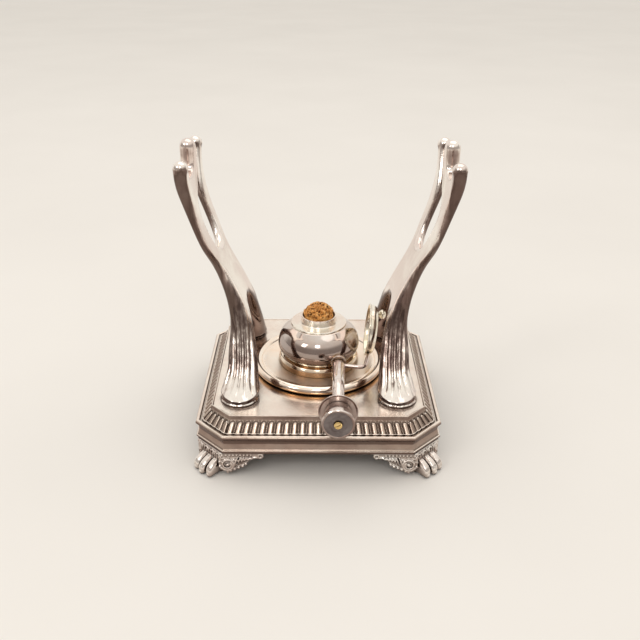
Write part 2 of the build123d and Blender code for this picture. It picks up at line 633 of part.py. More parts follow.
for name, side in {"left": -1, "right": 1}.items():
    with BuildPart() as support:
        extrude(outside(), amount=side * reach_x)
        extrude(arch(), amount=side * reach_x, mode=Mode.SUBTRACT)
        extrude(slot(), amount=side * reach_x, mode=Mode.SUBTRACT)
        extrude(notch(), amount=side * reach_x, mode=Mode.SUBTRACT)
        extrude(bend(side), amount=2 * reach_y, mode=Mode.INTERSECT)
        long_edges = [edge for edge in edges() if edge.length > WAIST_RISE / 2]
        fillet(long_edges, SUPPORT_ROUNDING)
        for end in (-1, 1):
            # round pad, narrowing up into the leg
            pad_y = end * (leg_outer_y(LEG_FOOT_HEIGHT) - LEG_HALF_WIDTH)
            with BuildSketch(Plane.XY.offset(plate_top)):
                with Locations((side * leg_foot_x, end * LEG_SPREAD)):
                    Circle(LEG_FOOT_RADIUS)
            with BuildSketch(Plane.XY.offset(pad_top)):
                with Locations((side * leg_foot_x, pad_y)):
                    Ellipse(0.8 * LEG_FOOT_RADIUS, LEG_HALF_WIDTH)
            loft()
            with Locations((side * PRONG_TIP_X, end * OUTER_PRONG_Y, outer_ball)):
                Sphere(OUTER_BALL_RADIUS)
            # blind hole for the screw through the plate
            with BuildSketch(Plane.XY.offset(plate_top)):
                with Locations((side * leg_foot_x, end * LEG_SPREAD)):
                    Circle(SCREW_RADIUS + THREAD_FIT)
            extrude(amount=SCREW_BITE + SLIP_FIT, mode=Mode.SUBTRACT)
        # round finger, thinning down and forward into the front prong
        with BuildSketch(Plane.XY.offset(finger_root)):
            with Locations((side * (PRONG_TIP_X - FINGER_ROOT_REACH), -FINGER_ROOT_Y)):
                Circle(FINGER_ROOT_RADIUS)
        with BuildSketch(Plane.XY.offset(finger_shoulder)):
            with Locations((side * PRONG_TIP_X, 0)):
                Circle(FINGER_RADIUS)
        loft()
        with BuildSketch(Plane.XY.offset(finger_shoulder)):
            with Locations((side * PRONG_TIP_X, 0)):
                Circle(FINGER_RADIUS)
        extrude(amount=FINGER_RISE - FINGER_SHOULDER_RISE)
        with Locations((side * PRONG_TIP_X, 0, finger_end)):
            Sphere(FINGER_RADIUS)
    support.part.label = "support_" + name
    export_step(support.part, f"parts/support_{name}.step")

for name, place in support_feet.items():
    with BuildPart() as support_screw:
        slotted_screw(plate_under, SCREW_RADIUS, SHEET + SCREW_BITE)
    support_screw.part = support_screw.part.moved(Location((*place, 0)))
    support_screw.part.label = "support_screw_" + name
    export_step(support_screw.part, f"parts/support_screw_{name}.step")

# ------------------------------------------------------------------ burner
# Along the handle: x is the distance from the start of its axis, y is the radius.
upward = Vector(0, 0, 1)
handle_direction = Vector(-sin(radians(HANDLE_ANGLE)), -cos(radians(HANDLE_ANGLE)), 0)
handle_start = Vector(HANDLE_X, 0, RIM_HEIGHT + HANDLE_RISE)
handle_plane = Plane(handle_start, x_dir=upward.cross(handle_direction), z_dir=handle_direction)
handle_section = Plane(handle_start, x_dir=handle_direction, z_dir=handle_direction.cross(upward))
handle_axis = Axis(handle_start, handle_direction)
bowl_base = seat + FOOT_HEIGHT
bowl_top = flat_top - TOP_THICKNESS


def bowl_section(wall):
    """Half of the bowl's section, moved in by the wall: x is the radius, y is up."""
    base = (BOWL_WAIST - wall, bowl_base + wall)
    top = (TOP_RADIUS - wall, bowl_top - wall)
    with BuildSketch(Plane.XZ) as section:
        with BuildLine():
            Spline(
                base,
                (BOWL_RADIUS - wall, seat + BOWL_BELLY),
                ((BOWL_RADIUS + TOP_RADIUS) / 2 + 1 - wall, seat + 0.8 * TOP_RISE - wall / 2),
                top,
                tangents=[(1, 0.5), (-1, 0.35)],
            )
            Polyline(top, (0, bowl_top - wall), (0, bowl_base + wall), base)
        make_face()
    return section.sketch


with BuildPart() as burner_bowl:
    revolve(bowl_section(0), axis=Axis.Z)
    revolve(bowl_section(BOWL_WALL), axis=Axis.Z, mode=Mode.SUBTRACT)
    with BuildSketch(Plane.XY.offset(bowl_top)):
        Circle(mouth_radius)
    extrude(amount=-2 * BOWL_WALL, mode=Mode.SUBTRACT)
    # socket for the handle's spindle
    with BuildSketch(handle_plane.offset(socket_start)):
        Circle(SOCKET_RADIUS)
    extrude(amount=socket_end - socket_start)
    with BuildSketch(handle_plane.offset(socket_end)):
        Circle(SPINDLE_RADIUS + THREAD_FIT)
    extrude(amount=-SCREW_BITE, mode=Mode.SUBTRACT)
burner_bowl.part.label = "burner_bowl"
export_step(burner_bowl.part, "parts/burner_bowl.step")

with BuildPart() as burner_foot:
    with BuildSketch(Plane.XZ):
        shoulder = (FOOT_RADIUS, seat + FOOT_WALL)
        inner_radius = FOOT_RADIUS - SHEET
        with BuildLine():
            Polyline((inner_radius, seat), (FOOT_RADIUS, seat), shoulder)
            Spline(shoulder, (BOWL_WAIST, bowl_base), tangents=[(0, 1), (-1, 0.2)])
            Polyline(
                (BOWL_WAIST, bowl_base),
                (mouth_radius, bowl_base),
                (mouth_radius, bowl_base - SHEET),
                (BOWL_WAIST - SHEET, bowl_base - SHEET),
                (inner_radius, seat + FOOT_WALL - SHEET),
                (inner_radius, seat),
            )
        make_face()
    revolve(axis=Axis.Z)
    # room for the handle's socket
    with BuildSketch(handle_plane.offset(socket_start - SLIP_FIT)):
        Circle(SOCKET_RADIUS + SLIP_FIT)
    extrude(amount=socket_end - socket_start, mode=Mode.SUBTRACT)
burner_foot.part.label = "burner_foot"
export_step(burner_foot.part, "parts/burner_foot.step")

with BuildPart() as burner_top:
    with BuildSketch(Plane.XZ):
        with BuildLine():
            Polyline(
                (wick_bore, bowl_top - PLUG_DEPTH),
                (plug_radius, bowl_top - PLUG_DEPTH),
                (plug_radius, bowl_top),
                (TOP_RADIUS, bowl_top),
                (TOP_RADIUS, flat_top),
                (collar_radius, flat_top),
                (collar_radius, collar_top),
                (collar_inside, collar_top),
                (collar_inside, flat_top),
                (wick_bore, bowl_top),
                (wick_bore, bowl_top - PLUG_DEPTH),
            )
        make_face()
    revolve(axis=Axis.Z)
burner_top.part.label = "burner_top"
export_step(burner_top.part, "parts/burner_top.step")

with BuildPart() as wick:
    with BuildSketch(Plane.XZ):
        dome_edge = (WICK_RADIUS, collar_top + 0.2 * WICK_SHOWS)
        with BuildLine():
            Polyline((0, wick_root), (WICK_RADIUS, wick_root), dome_edge)
            Spline(dome_edge, (0, collar_top + WICK_SHOWS), tangents=[(-0.1, 1), (-1, 0)])
            Line((0, collar_top + WICK_SHOWS), (0, wick_root))
        make_face()
    revolve(axis=Axis.Z)
wick.part.label = "wick"
export_step(wick.part, "parts/wick.step")

with BuildPart() as handle_spindle:
    with BuildSketch(handle_section):
        with BuildLine():
            Polyline(
                (socket_end - SCREW_BITE + SLIP_FIT, 0),
                (socket_end - SCREW_BITE + SLIP_FIT, SPINDLE_RADIUS),
                (head_start, SPINDLE_RADIUS),
                (head_start, SPINDLE_HEAD_RADIUS),
                (head_start + SPINDLE_HEAD, SPINDLE_HEAD_RADIUS),
                (head_start + SPINDLE_HEAD, 0),
                (socket_end - SCREW_BITE + SLIP_FIT, 0),
            )
        make_face()
    revolve(axis=handle_axis)
    with BuildSketch(handle_plane.offset(head_start + SPINDLE_HEAD)):
        Rectangle(2 * SPINDLE_HEAD_RADIUS, SLOT_WIDTH)
    extrude(amount=-SPINDLE_HEAD / 2, mode=Mode.SUBTRACT)
handle_spindle.part.label = "handle_spindle"
export_step(handle_spindle.part, "parts/handle_spindle.step")

# ------------------------------------------------------------------ turning handle
with BuildPart() as handle_tube:
    with BuildSketch(handle_section):
        swell = (tube_start + TUBE_ROOT_RADIUS, TUBE_ROOT_RADIUS)
        with BuildLine():
            Line((tube_start, spindle_bore), (tube_start, TUBE_ROOT_RADIUS / 2))
            Spline((tube_start, TUBE_ROOT_RADIUS / 2), swell, tangents=[(0.3, 1), (1, 0)])
            Polyline(swell, (TUBE_END, TUBE_TIP_RADIUS), (TUBE_END, spindle_bore), (tube_start, spindle_bore))
        make_face()
    revolve(axis=handle_axis)
handle_tube.part.label = "handle_tube"
export_step(handle_tube.part, "parts/handle_tube.step")

with BuildPart() as handle_flange:
    with BuildSketch(handle_plane.offset(TUBE_END)):
        Circle(FLANGE_RADIUS)
        Circle(spindle_bore, mode=Mode.SUBTRACT)
    extrude(amount=FLANGE_THICKNESS)
    fillet(handle_flange.edges().sort_by(SortBy.LENGTH)[-2:], FLANGE_THICKNESS / 3)
handle_flange.part.label = "handle_flange"
export_step(handle_flange.part, "parts/handle_flange.step")

disc_radius = KNOB_RADIUS - 2 * DISC_THICKNESS
with BuildPart() as handle_knob:
    with BuildSketch(handle_section):
        with BuildLine():
            Polyline(
                (knob_start, spindle_bore),
                (knob_start, KNOB_NECK_RADIUS),
                (knob_end - DISC_THICKNESS, KNOB_RADIUS),
                (knob_end, KNOB_RADIUS - DISC_THICKNESS),
                (knob_end, disc_radius),
                (knob_end - DISC_THICKNESS, disc_radius),
                (knob_end - DISC_THICKNESS, spindle_bore),
                (knob_start, spindle_bore),
            )
        make_face()
    revolve(axis=handle_axis)
handle_knob.part.label = "handle_knob"
export_step(handle_knob.part, "parts/handle_knob.step")

with BuildPart() as handle_disc:
    with BuildSketch(handle_plane.offset(knob_end - DISC_THICKNESS)):
        Circle(disc_radius)
        Circle(spindle_bore, mode=Mode.SUBTRACT)
    extrude(amount=DISC_THICKNESS)
handle_disc.part.label = "handle_disc"
export_step(handle_disc.part, "parts/handle_disc.step")

# ------------------------------------------------------------------ snuffer
# Drawn closed, over the collar, and then turned about the handle to where it hangs open.
closed_rim = flat_top + SEAT_GAP
cap_radius = TOP_RADIUS - CAP_MARGIN
cap_shoulder_radius = collar_radius + CAP_SIDE_ROOM
cap_shoulder = COLLAR_HEIGHT + CAP_HEAD_ROOM
cap_depth = cap_shoulder + CAP_CROWN
opened = handle_plane.location * Location((0, 0, 0), (0, 0, -SWING)) * handle_plane.location.inverse()


def cap_section(wall):
    """Half of the cap's section, moved in by the wall: x is the radius, y is up."""
    rim = (cap_radius - wall, closed_rim)
    shoulder = (cap_shoulder_radius - wall / 2, closed_rim + cap_shoulder - wall)
    crown = (0, closed_rim + cap_depth - wall)
    with BuildSketch(Plane.XZ) as section:
        with BuildLine():
            Spline(rim, shoulder, crown, tangents=[(-0.2, 1), (-1, 0)])
            Polyline(crown, (0, closed_rim), rim)
        make_face()
    return section.sketch


with BuildPart() as cap_form:
    revolve(cap_section(0), axis=Axis.Z)
with BuildPart() as snuffer_cap:
    add(cap_form.part)
    revolve(cap_section(CAP_WALL), axis=Axis.Z, mode=Mode.SUBTRACT)
snuffer_cap.part = snuffer_cap.part.moved(opened)
snuffer_cap.part.label = "snuffer_cap"
export_step(snuffer_cap.part, "parts/snuffer_cap.step")

# turned thumb-piece on the crown, across from the arm
diagonal = sqrt(2) / 2
with BuildPart() as snuffer_thumb:
    thumb_y = THUMB_OFFSET * diagonal
    with BuildSketch(Plane.XZ.offset(-thumb_y)):
        axis_x = -THUMB_OFFSET * diagonal
        foot = closed_rim + cap_shoulder - CAP_WALL
        end = closed_rim + cap_depth + THUMB_LENGTH
        with BuildLine():
            Polyline((axis_x, foot), (axis_x + THUMB_NECK, foot), (axis_x + THUMB_NECK, end - THUMB_RADIUS))
            Spline(
                (axis_x + THUMB_NECK, end - THUMB_RADIUS),
                (axis_x + THUMB_RADIUS, end - THUMB_RADIUS / 2),
                (axis_x, end),
                tangents=[(1, 0), (-1, 0)],
            )
            Line((axis_x, end), (axis_x, foot))
        make_face()
    revolve(axis=Axis((axis_x, thumb_y, 0), (0, 0, 1)))
    add(cap_form.part, mode=Mode.SUBTRACT)
snuffer_thumb.part = snuffer_thumb.part.moved(opened)
snuffer_thumb.part.label = "snuffer_thumb"
export_step(snuffer_thumb.part, "parts/snuffer_thumb.step")

# rod from the handle round to the skirt of the cap, as it hangs open
skirt = (cap_radius + cap_shoulder_radius) / 2 * diagonal
arm_tip = (opened * Location((skirt, -skirt, closed_rim + cap_shoulder / 2))).position
arm_root = handle_plane.from_local_coords((TUBE_ROOT_RADIUS / 2, 0, arm_start))
arm_knee = handle_plane.from_local_coords((ARM_REACH, -ARM_RADIUS / 2, arm_start + ARM_RADIUS))
with BuildPart() as snuffer_arm:
    with BuildLine() as rod:
        FilletPolyline(arm_root, arm_knee, arm_tip, radius=ARM_BEND)
    with BuildSketch(Plane(arm_root, z_dir=arm_knee - arm_root)):
        Circle(ARM_RADIUS)
    sweep(path=rod.line)
    add(handle_tube.part, mode=Mode.SUBTRACT)
    add(cap_form.part.moved(opened), mode=Mode.SUBTRACT)
snuffer_arm.part.label = "snuffer_arm"
export_step(snuffer_arm.part, "parts/snuffer_arm.step")
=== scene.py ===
"""Looks of a silver-plated kettle stand with its spirit burner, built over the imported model's frame.

Lengths are in mm with +Z up, unless a line says metres; mesh_object turns them into metres.
"""

import json
from math import acos, atan2, copysign, cos, hypot, pi, radians, sin, sqrt, tan

import bmesh
import bpy
import numpy as np
from mathutils import Matrix, Vector, noise


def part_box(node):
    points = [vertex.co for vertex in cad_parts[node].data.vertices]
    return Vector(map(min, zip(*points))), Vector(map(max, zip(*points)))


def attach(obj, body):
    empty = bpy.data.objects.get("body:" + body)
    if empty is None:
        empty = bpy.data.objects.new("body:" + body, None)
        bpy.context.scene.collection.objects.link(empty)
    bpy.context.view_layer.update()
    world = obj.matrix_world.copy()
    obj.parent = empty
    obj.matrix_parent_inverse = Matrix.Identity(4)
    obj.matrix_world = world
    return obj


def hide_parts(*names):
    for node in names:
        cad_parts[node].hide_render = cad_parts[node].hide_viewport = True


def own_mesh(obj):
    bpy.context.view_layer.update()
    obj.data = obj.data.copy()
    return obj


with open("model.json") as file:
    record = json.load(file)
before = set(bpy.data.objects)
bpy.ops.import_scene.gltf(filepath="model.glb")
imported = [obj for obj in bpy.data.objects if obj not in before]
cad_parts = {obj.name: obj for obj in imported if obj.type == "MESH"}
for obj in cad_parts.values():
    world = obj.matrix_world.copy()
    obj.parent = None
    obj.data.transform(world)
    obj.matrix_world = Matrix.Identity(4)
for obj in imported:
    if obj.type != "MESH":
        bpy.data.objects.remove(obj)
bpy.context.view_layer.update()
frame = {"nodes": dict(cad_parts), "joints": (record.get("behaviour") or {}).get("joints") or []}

MM = 0.001


# ---- sizes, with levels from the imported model
def level(node, end):
    """Height of a node's bottom, where end is 0, or of its top, where end is 1."""
    return round(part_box(node)[end].z / MM, 2)


def reach(node):
    """Distance from the tray's centre to the middle of a node, seen from above."""
    low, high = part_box(node)
    middle = (low + high) / 2 / MM
    return hypot(middle.x, middle.y)


HINGE = next(joint for joint in frame["joints"] if joint["name"] == "snuffer_swing")
AXIS_START = Vector([value / MM for value in HINGE["pos_m"]])
AXIS = Vector(HINGE["axis"])
SWING = radians(HINGE["range_deg"][1])

APRON = level("base_tray", 0)  # lower edge of the tray
PLATE = level("burner_pan", 0)  # flat plate of the tray
RIM = PLATE - 12.0  # line of the tray's edge, which its section is measured from
SEAT = level("burner_foot", 0)  # floor of the pan
COLLAR = 6.0  # height of the burner's collar
FLAT_TOP = level("burner_top", 1) - COLLAR
WICK_BASE = level("wick", 0)
SCREW_REACH = reach("foot_screw_back_right")

HALF = 95.0  # centre of the tray to a long side
CUT = 22.5  # length that a corner takes off each side
CANTED = (2 * HALF - CUT) / sqrt(2)  # centre of the tray to a canted side
CORNERS = {"front_left": 225, "front_right": 315, "back_right": 45, "back_left": 135}  # degrees from +X
SCREW_HOLE = 2.04  # radius
BORE = 1.66  # radius of the handle's bore, round the spindle


# ---- mesh helpers
def add_object(name, data):
    obj = bpy.data.objects.new(name, data)
    bpy.context.scene.collection.objects.link(obj)
    return obj


def mesh_object(name, verts, faces):
    """Object from vertices in mm and faces, shaded smooth."""
    verts = np.asarray(verts, float).reshape(-1, 3) * MM
    mesh = bpy.data.meshes.new(name)
    mesh.from_pydata([tuple(v) for v in verts], [], [tuple(int(i) for i in f) for f in faces])
    mesh.validate()
    mesh.update()
    mesh.shade_smooth()
    return add_object(name, mesh)


def clean_object(name, verts, faces):
    obj = mesh_object(name, verts, faces)
    clean(obj)
    return obj


def clean(obj, merge=1e-6):
    """Merge points that are closer than merge, in metres, and make the normals agree."""
    bm = bmesh.new()
    bm.from_mesh(obj.data)
    bmesh.ops.remove_doubles(bm, verts=bm.verts, dist=merge)
    bmesh.ops.dissolve_degenerate(bm, edges=bm.edges, dist=1e-7)
    bmesh.ops.recalc_face_normals(bm, faces=bm.faces)
    bm.to_mesh(obj.data)
    bm.free()
    obj.data.shade_smooth()


def join(name, objects):
    """One object from several."""
    bm = bmesh.new()
    for obj in objects:
        bm.from_mesh(obj.data)
    mesh = bpy.data.meshes.new(name)
    bm.to_mesh(mesh)
    bm.free()
    for obj in objects:
        bpy.data.objects.remove(obj)
    return add_object(name, mesh)


def circle(count):
    """Angles of count points round a circle."""
    return [2 * pi * k / count for k in range(count)]


def grid(rows, around, flipped=False):
    """Faces between rows + 1 rings, each of around points."""
    faces = []
    for i in range(rows):
        for k in range(around):
            m = (k + 1) % around
            a, b = i * around + k, i * around + m
            c, d = b + around, a + around
            faces.append((a, d, c, b) if flipped else (a, b, c, d))
    return faces


def capped(rows, around):
    """Faces of a closed tube of rows + 1 rings, with both of its ends."""
    ends = [tuple(range(around))[::-1], tuple(rows * around + k for k in range(around))]
    return grid(rows, around) + ends


def rounded(points, radius, steps=5, closed=False):
    """Polyline with its corners rounded off. A point (x, y, r) has its own radius."""
    nearly_straight = 0.03
    out = []
    for i, (x, y, *own) in enumerate(points):
        r = own[0] if own else radius
        before, after = points[i - 1], points[(i + 1) % len(points)]
        a = Vector((before[0] - x, before[1] - y))
        b = Vector((after[0] - x, after[1] - y))
        la, lb = a.length, b.length
        at_end = not closed and i in (0, len(points) - 1)
        if at_end or r <= 0:
            out.append((x, y))
            continue
        a.normalize()
        b.normalize()
        half = acos(max(-1, min(1, a.dot(b)))) / 2
        if half > pi / 2 - nearly_straight:
            out.append((x, y))
            continue
        cut = min(r / tan(half), la * 0.49, lb * 0.49)
        corner = Vector((x, y))
        start, end = corner + a * cut, corner + b * cut
        for k in range(steps + 1):
            t = k / steps
            out.append(tuple(start * (1 - t) ** 2 + corner * 2 * t * (1 - t) + end * t * t))
    return out


def raised(level, points):
    """Points (radius, height) or (radius, height, rounding), with their heights measured from a level."""
    return [(r, level + h, *own) for r, h, *own in points]


def band(points, radius=0.3, steps=5):
    """Closed section with its corners rounded off."""
    return rounded(points, radius, steps, closed=True)


def spline(points, count):
    """Catmull-Rom curve through points, as a list of count points."""
    p = [np.array(q, float) for q in points]
    p = [2 * p[0] - p[1]] + p + [2 * p[-1] - p[-2]]
    segments = len(p) - 3
    out = []
    for i in range(count):
        s = i / (count - 1) * segments
        k = min(int(s), segments - 1)
        t = s - k
        a, b, c, d = p[k : k + 4]
        square, cube = 2 * a - 5 * b + 4 * c - d, 3 * b - a - 3 * c + d
        out.append(tuple(0.5 * (2 * b + (c - a) * t + square * t**2 + cube * t**3)))
    return out


def lathe(name, profile, origin=(0, 0, 0), axis=(0, 0, 1), segments=128):
    """Turned piece. profile is a closed loop of (radius, height)."""
    axis = Vector(axis).normalized()
    side = Vector((1, 0, 0))
    u = (side - axis * side.dot(axis)).normalized()
    w = axis.cross(u)
    origin = Vector(origin)
    verts, faces = [], []
    count = len(profile)
    for s, a in enumerate(circle(segments)):
        spoke = u * cos(a) + w * sin(a)
        verts += [origin + spoke * r + axis * h for r, h in profile]
        t = (s + 1) % segments
        for i in range(count):
            j = (i + 1) % count
            faces.append((s * count + i, t * count + i, t * count + j, s * count + j))
    return clean_object(name, verts, faces)


def tube(name, path, radius, segments=20):
    """Round rod along a path of points. radius is a number, or a list of one for each point."""
    p = [Vector(q) for q in path]
    radii = radius if hasattr(radius, "__len__") else [radius] * len(p)
    verts = []
    tangent = (p[1] - p[0]).normalized()
    normal = tangent.orthogonal().normalized()
    for i, q in enumerate(p):
        new = (p[min(i + 1, len(p) - 1)] - p[max(i - 1, 0)]).normalized()
        normal = tangent.rotation_difference(new) @ normal
        tangent = new
        other = tangent.cross(normal)
        for a in circle(segments):
            verts.append(q + (normal * cos(a) + other * sin(a)) * radii[i])
    return clean_object(name, verts, capped(len(p) - 1, segments))


def finish_piece(obj, body, look, node):
    """Give a piece its material and its body, and hide the node that it stands for."""
    obj.data.materials.clear()
    obj.data.materials.append(look)
    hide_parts(node)
    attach(obj, body)


def smoothstep(a, b, x):
    """0 below a and 1 above b, with a soft rise between them."""
    t = np.clip((np.asarray(x, float) - a) / (b - a), 0, 1)
    return t * t * (3 - 2 * t)


# ---- materials
def rgba(colour):
    """A colour's four channels, from (r, g, b) or from one grey."""
    return (*colour, 1) if hasattr(colour, "__len__") else (colour,) * 3 + (1,)


class Wiring:
    """Nodes of a material or a world, wired by short calls."""

    def __init__(self, owner):
        owner.use_nodes = True
        self.nodes, self.links = owner.node_tree.nodes, owner.node_tree.links

    def feed(self, socket, value):
        """Link a socket to another one, or give it a value."""
        if isinstance(value, bpy.types.NodeSocket):
            self.links.new(value, socket)
        else:
            socket.default_value = value

    def add(self, kind, **inputs):
        """New node, with its inputs given by name."""
        node = self.nodes.new("ShaderNode" + kind)
        for name, value in inputs.items():
            self.feed(node.inputs[name], value)
        return node

    def mix(self, factor, a, b, kind="MIX"):
        """Colour between a and b, or the two multiplied."""
        node = self.add("Mix")
        node.data_type = "RGBA"
        node.blend_type = kind
        self.feed(node.inputs["Factor"], factor)
        for name, value in (("A", a), ("B", b)):
            self.feed(node.inputs[name], value if isinstance(value, bpy.types.NodeSocket) else rgba(value))
        return [socket for socket in node.outputs if socket.type == "RGBA"][0]

    def math(self, kind, a, b=0, clamp=False):
        node = self.add("Math")
        node.operation = kind
        node.use_clamp = clamp
        for socket, value in zip(node.inputs, (a, b)):
            self.feed(socket, value)
        return node.outputs["Value"]


class Look(Wiring):
    """One node material. Lengths in it are in metres."""

    def __init__(self, name, metallic=0):
        self.material = bpy.data.materials.new(name)
        super().__init__(self.material)
        self.bsdf = self.nodes["Principled BSDF"]
        self.bsdf.inputs["Metallic"].default_value = metallic
        self.coords = self.add("TexCoord").outputs["Object"]

    def noise(self, scale, detail=4, rough=0.55, stretch=None, distortion=0):
        """Noise over the object; scale is in cycles per metre, stretch multiplies the axes."""
        vector = self.coords
        if stretch:
            vector = self.add("Mapping", Scale=stretch, Vector=vector).outputs["Vector"]
        levels = {"Scale": scale, "Detail": detail, "Roughness": rough, "Distortion": distortion}
        return self.add("TexNoise", Vector=vector, **levels).outputs["Fac"]

    def ramp(self, value, stops):
        """Colour ramp; stops are (position, (r, g, b)) or (position, grey)."""
        node = self.add("ValToRGB", Fac=value)
        elements = node.color_ramp.elements
        while len(elements) < len(stops):
            elements.new(0.5)
        for element, (position, colour) in zip(elements, stops):
            element.position = position
            element.color = rgba(colour)
        return node.outputs["Color"]

    def plus(self, a, b):
        return self.math("ADD", a, b)

    def minus(self, a, b):
        return self.math("SUBTRACT", a, b)

    def times(self, a, b):
        return self.math("MULTIPLY", a, b)

    def size(self, a):
        return self.math("ABSOLUTE", a)

    def axis(self, name):
        """X, Y or Z of the point, in metres."""
        return self.add("SeparateXYZ", Vector=self.coords).outputs[name]

    def direction(self, name):
        """X, Y or Z part of the way that the surface faces."""
        node = self.add("SeparateXYZ")
        self.feed(node.inputs["Vector"], self.add("TexCoord").outputs["Normal"])
        return node.outputs[name]

    def facing(self):
        """0 where the surface faces down, 0.5 where it is upright and 1 where it faces up."""
        return self.plus(self.times(self.direction("Z"), 0.5), 0.5)

    def sideways(self):
        """0 where the surface faces to the front or the back, 1 where it faces across that."""
        return self.minus(1, self.size(self.direction("Y")))

    def crevice(self, distance):
        """1 on open surfaces, falling towards 0 in hollows."""
        node = self.add("AmbientOcclusion", Distance=distance)
        node.samples = 8
        return node.outputs["AO"]

    def colour(self, socket):
        self.feed(self.bsdf.inputs["Base Color"], socket)

    def rough(self, socket):
        self.feed(self.bsdf.inputs["Roughness"], socket)

    def bump(self, height, strength, distance):
        node = self.add("Bump", Strength=strength, Distance=distance, Height=height)
        self.feed(self.bsdf.inputs["Normal"], node.outputs["Normal"])


def silver(
    name, clean, stain, dark, share, rough, hollows, shade=None, painted_extra=None, deep=(0.25, 0.85), polish=None
):
    """Worn silver plate: clean metal, warm stain in clouds, dark tarnish and painted shade in the hollows,
    fine wiping marks.

    share is how much is stained, and rough the roughness of the smoothest and of the dullest metal.
    hollows is how wide a hollow darkens, and deep the openness at which it is dark and at which it is
    not darkened. shade is a table of painted shade and reflection, from faces that look down to faces that
    look up; painted_extra(look) adds more painted light to that, and polish(look) multiplies the roughness.
    """
    look = Look(name, metallic=1)
    clouds = look.noise(26, 5, 0.6, distortion=0.6)
    tint = look.ramp(clouds, [(0.5 - share * 0.28, stain), (0.62, clean)])
    specks = look.ramp(look.noise(240, 6, 0.65), [(0.35, 0.16), (0.6, 0)])
    tint = look.mix(specks, tint, stain, "MULTIPLY")
    # painted shade and reflection: the tint follows the way each face looks, with uneven clouding
    if shade:
        facing = look.facing()
        painted_facing = look.plus(facing, look.times(look.minus(look.noise(48, 4, 0.6), 0.5), 0.25))
        if painted_extra:
            painted_facing = look.plus(painted_facing, painted_extra(look))
        tint = look.mix(1, tint, look.ramp(painted_facing, shade), "MULTIPLY")
    # tarnish and painted shade: the hollows darken towards the dark colour
    openness = look.crevice(hollows)
    tint = look.mix(look.ramp(openness, [(deep[0], 1), (deep[1], 0)]), tint, dark)
    look.colour(tint)
    marks = look.noise(900, 3, 0.6, stretch=(1, 1, 0.15))
    smoothest, dullest = rough
    haze = look.times(look.noise(60, 5, 0.7), dullest - smoothest)
    roughness = look.plus(look.plus(haze, smoothest), look.times(marks, 0.04))
    roughness = look.math("ADD", roughness, look.ramp(openness, [(0.2, 0.2), (0.8, 0)]), clamp=True)
    if polish:
        roughness = look.times(roughness, polish(look))
    look.rough(roughness)
    ripple = look.noise(70, 2, 0.5)
    look.bump(look.plus(look.times(marks, 0.05), ripple), 0.25, 0.0004)
    return look.material


def support_painted_light(look):
    """Painted light on the supports, added to their painted shade by facing: the fingers between the prongs
    and faces turned to the sides are painted brighter, the feet of the legs darker, and streaks of painted
    reflection run down the metal."""
    near_middle = look.ramp(look.size(look.axis("Y")), [(0.008, 0.10), (0.013, 0)])
    at_fingers = look.ramp(look.axis("Z"), [(0.165, 0), (0.19, 1)])
    above_feet = look.ramp(look.axis("Z"), [(0.085, 0), (0.135, 1)])
    turned = look.times(look.sideways(), look.times(look.axis("Z"), 0.9))
    painted_light = look.plus(look.times(near_middle, at_fingers), turned)
    painted_light = look.plus(painted_light, look.times(look.minus(above_feet, 1), 0.15))
    reflection_streaks = look.noise(260, 3, 0.6, stretch=(1, 1, 0.04))
    return look.plus(painted_light, look.times(look.minus(reflection_streaks, 0.5), 0.3))


def rim_polish(look):
    """The pan's half-round rim is smoother than its satin floor."""
    x, y = look.axis("X"), look.axis("Y")
    radius = look.math("SQRT", look.plus(look.times(x, x), look.times(y, y)))
    return look.ramp(radius, [(0.0455, 1), (0.047, 0.25)])


CREAM = (0.97, 0.90, 0.82)
WARM = (0.88, 0.76, 0.68)
UMBER = (0.10, 0.07, 0.055)
GILT = (0.42, 0.28, 0.12)
WHITE = (1, 1, 1)
# painted shade and reflection by the way a face looks: brown underneath and on upright faces, bright on top
DEEP = [
    (0, (0.24, 0.19, 0.17)), (0.40, (0.16, 0.12, 0.11)), (0.48, (0.12, 0.09, 0.08)),
    (0.56, (0.22, 0.17, 0.16)), (0.62, (0.46, 0.40, 0.38)), (0.67, (0.92, 0.89, 0.87)), (0.71, WHITE),
]
SOFT = [
    (0, (0.24, 0.18, 0.16)), (0.42, (0.30, 0.24, 0.22)), (0.52, (0.45, 0.39, 0.37)),
    (0.62, (0.78, 0.73, 0.71)), (0.72, WHITE),
]
TRAY = [
    (0, (0.20, 0.16, 0.14)), (0.40, (0.17, 0.13, 0.12)), (0.50, (0.16, 0.12, 0.11)),
    (0.58, (0.34, 0.28, 0.26)), (0.68, (0.48, 0.42, 0.39)), (0.86, (0.60, 0.54, 0.50)), (0.94, WHITE),
]
CAST = [(0, (0.24, 0.20, 0.18)), (0.42, (0.50, 0.45, 0.43)), (0.54, (0.80, 0.76, 0.74)), (0.62, WHITE)]
BOWL = [
    (0, (0.20, 0.15, 0.13)), (0.40, (0.22, 0.17, 0.15)), (0.52, (0.40, 0.35, 0.33)),
    (0.66, (0.50, 0.45, 0.44)), (0.82, (0.62, 0.58, 0.56)), (0.97, (0.85, 0.82, 0.80)),
]
# painted shade by facing for the pan: its rim is painted amber underneath, for an amber reflection in the
# plate
PAN = [
    (0, (0.90, 0.62, 0.34)), (0.38, (0.74, 0.54, 0.34)), (0.50, (0.50, 0.43, 0.38)),
    (0.60, (0.66, 0.63, 0.64)), (0.76, WHITE),
]
GOLDEN = [
    (0, (0.16, 0.10, 0.06)), (0.44, (0.26, 0.18, 0.12)), (0.58, (0.50, 0.39, 0.29)),
    (0.80, (1, 0.95, 0.88)),
]
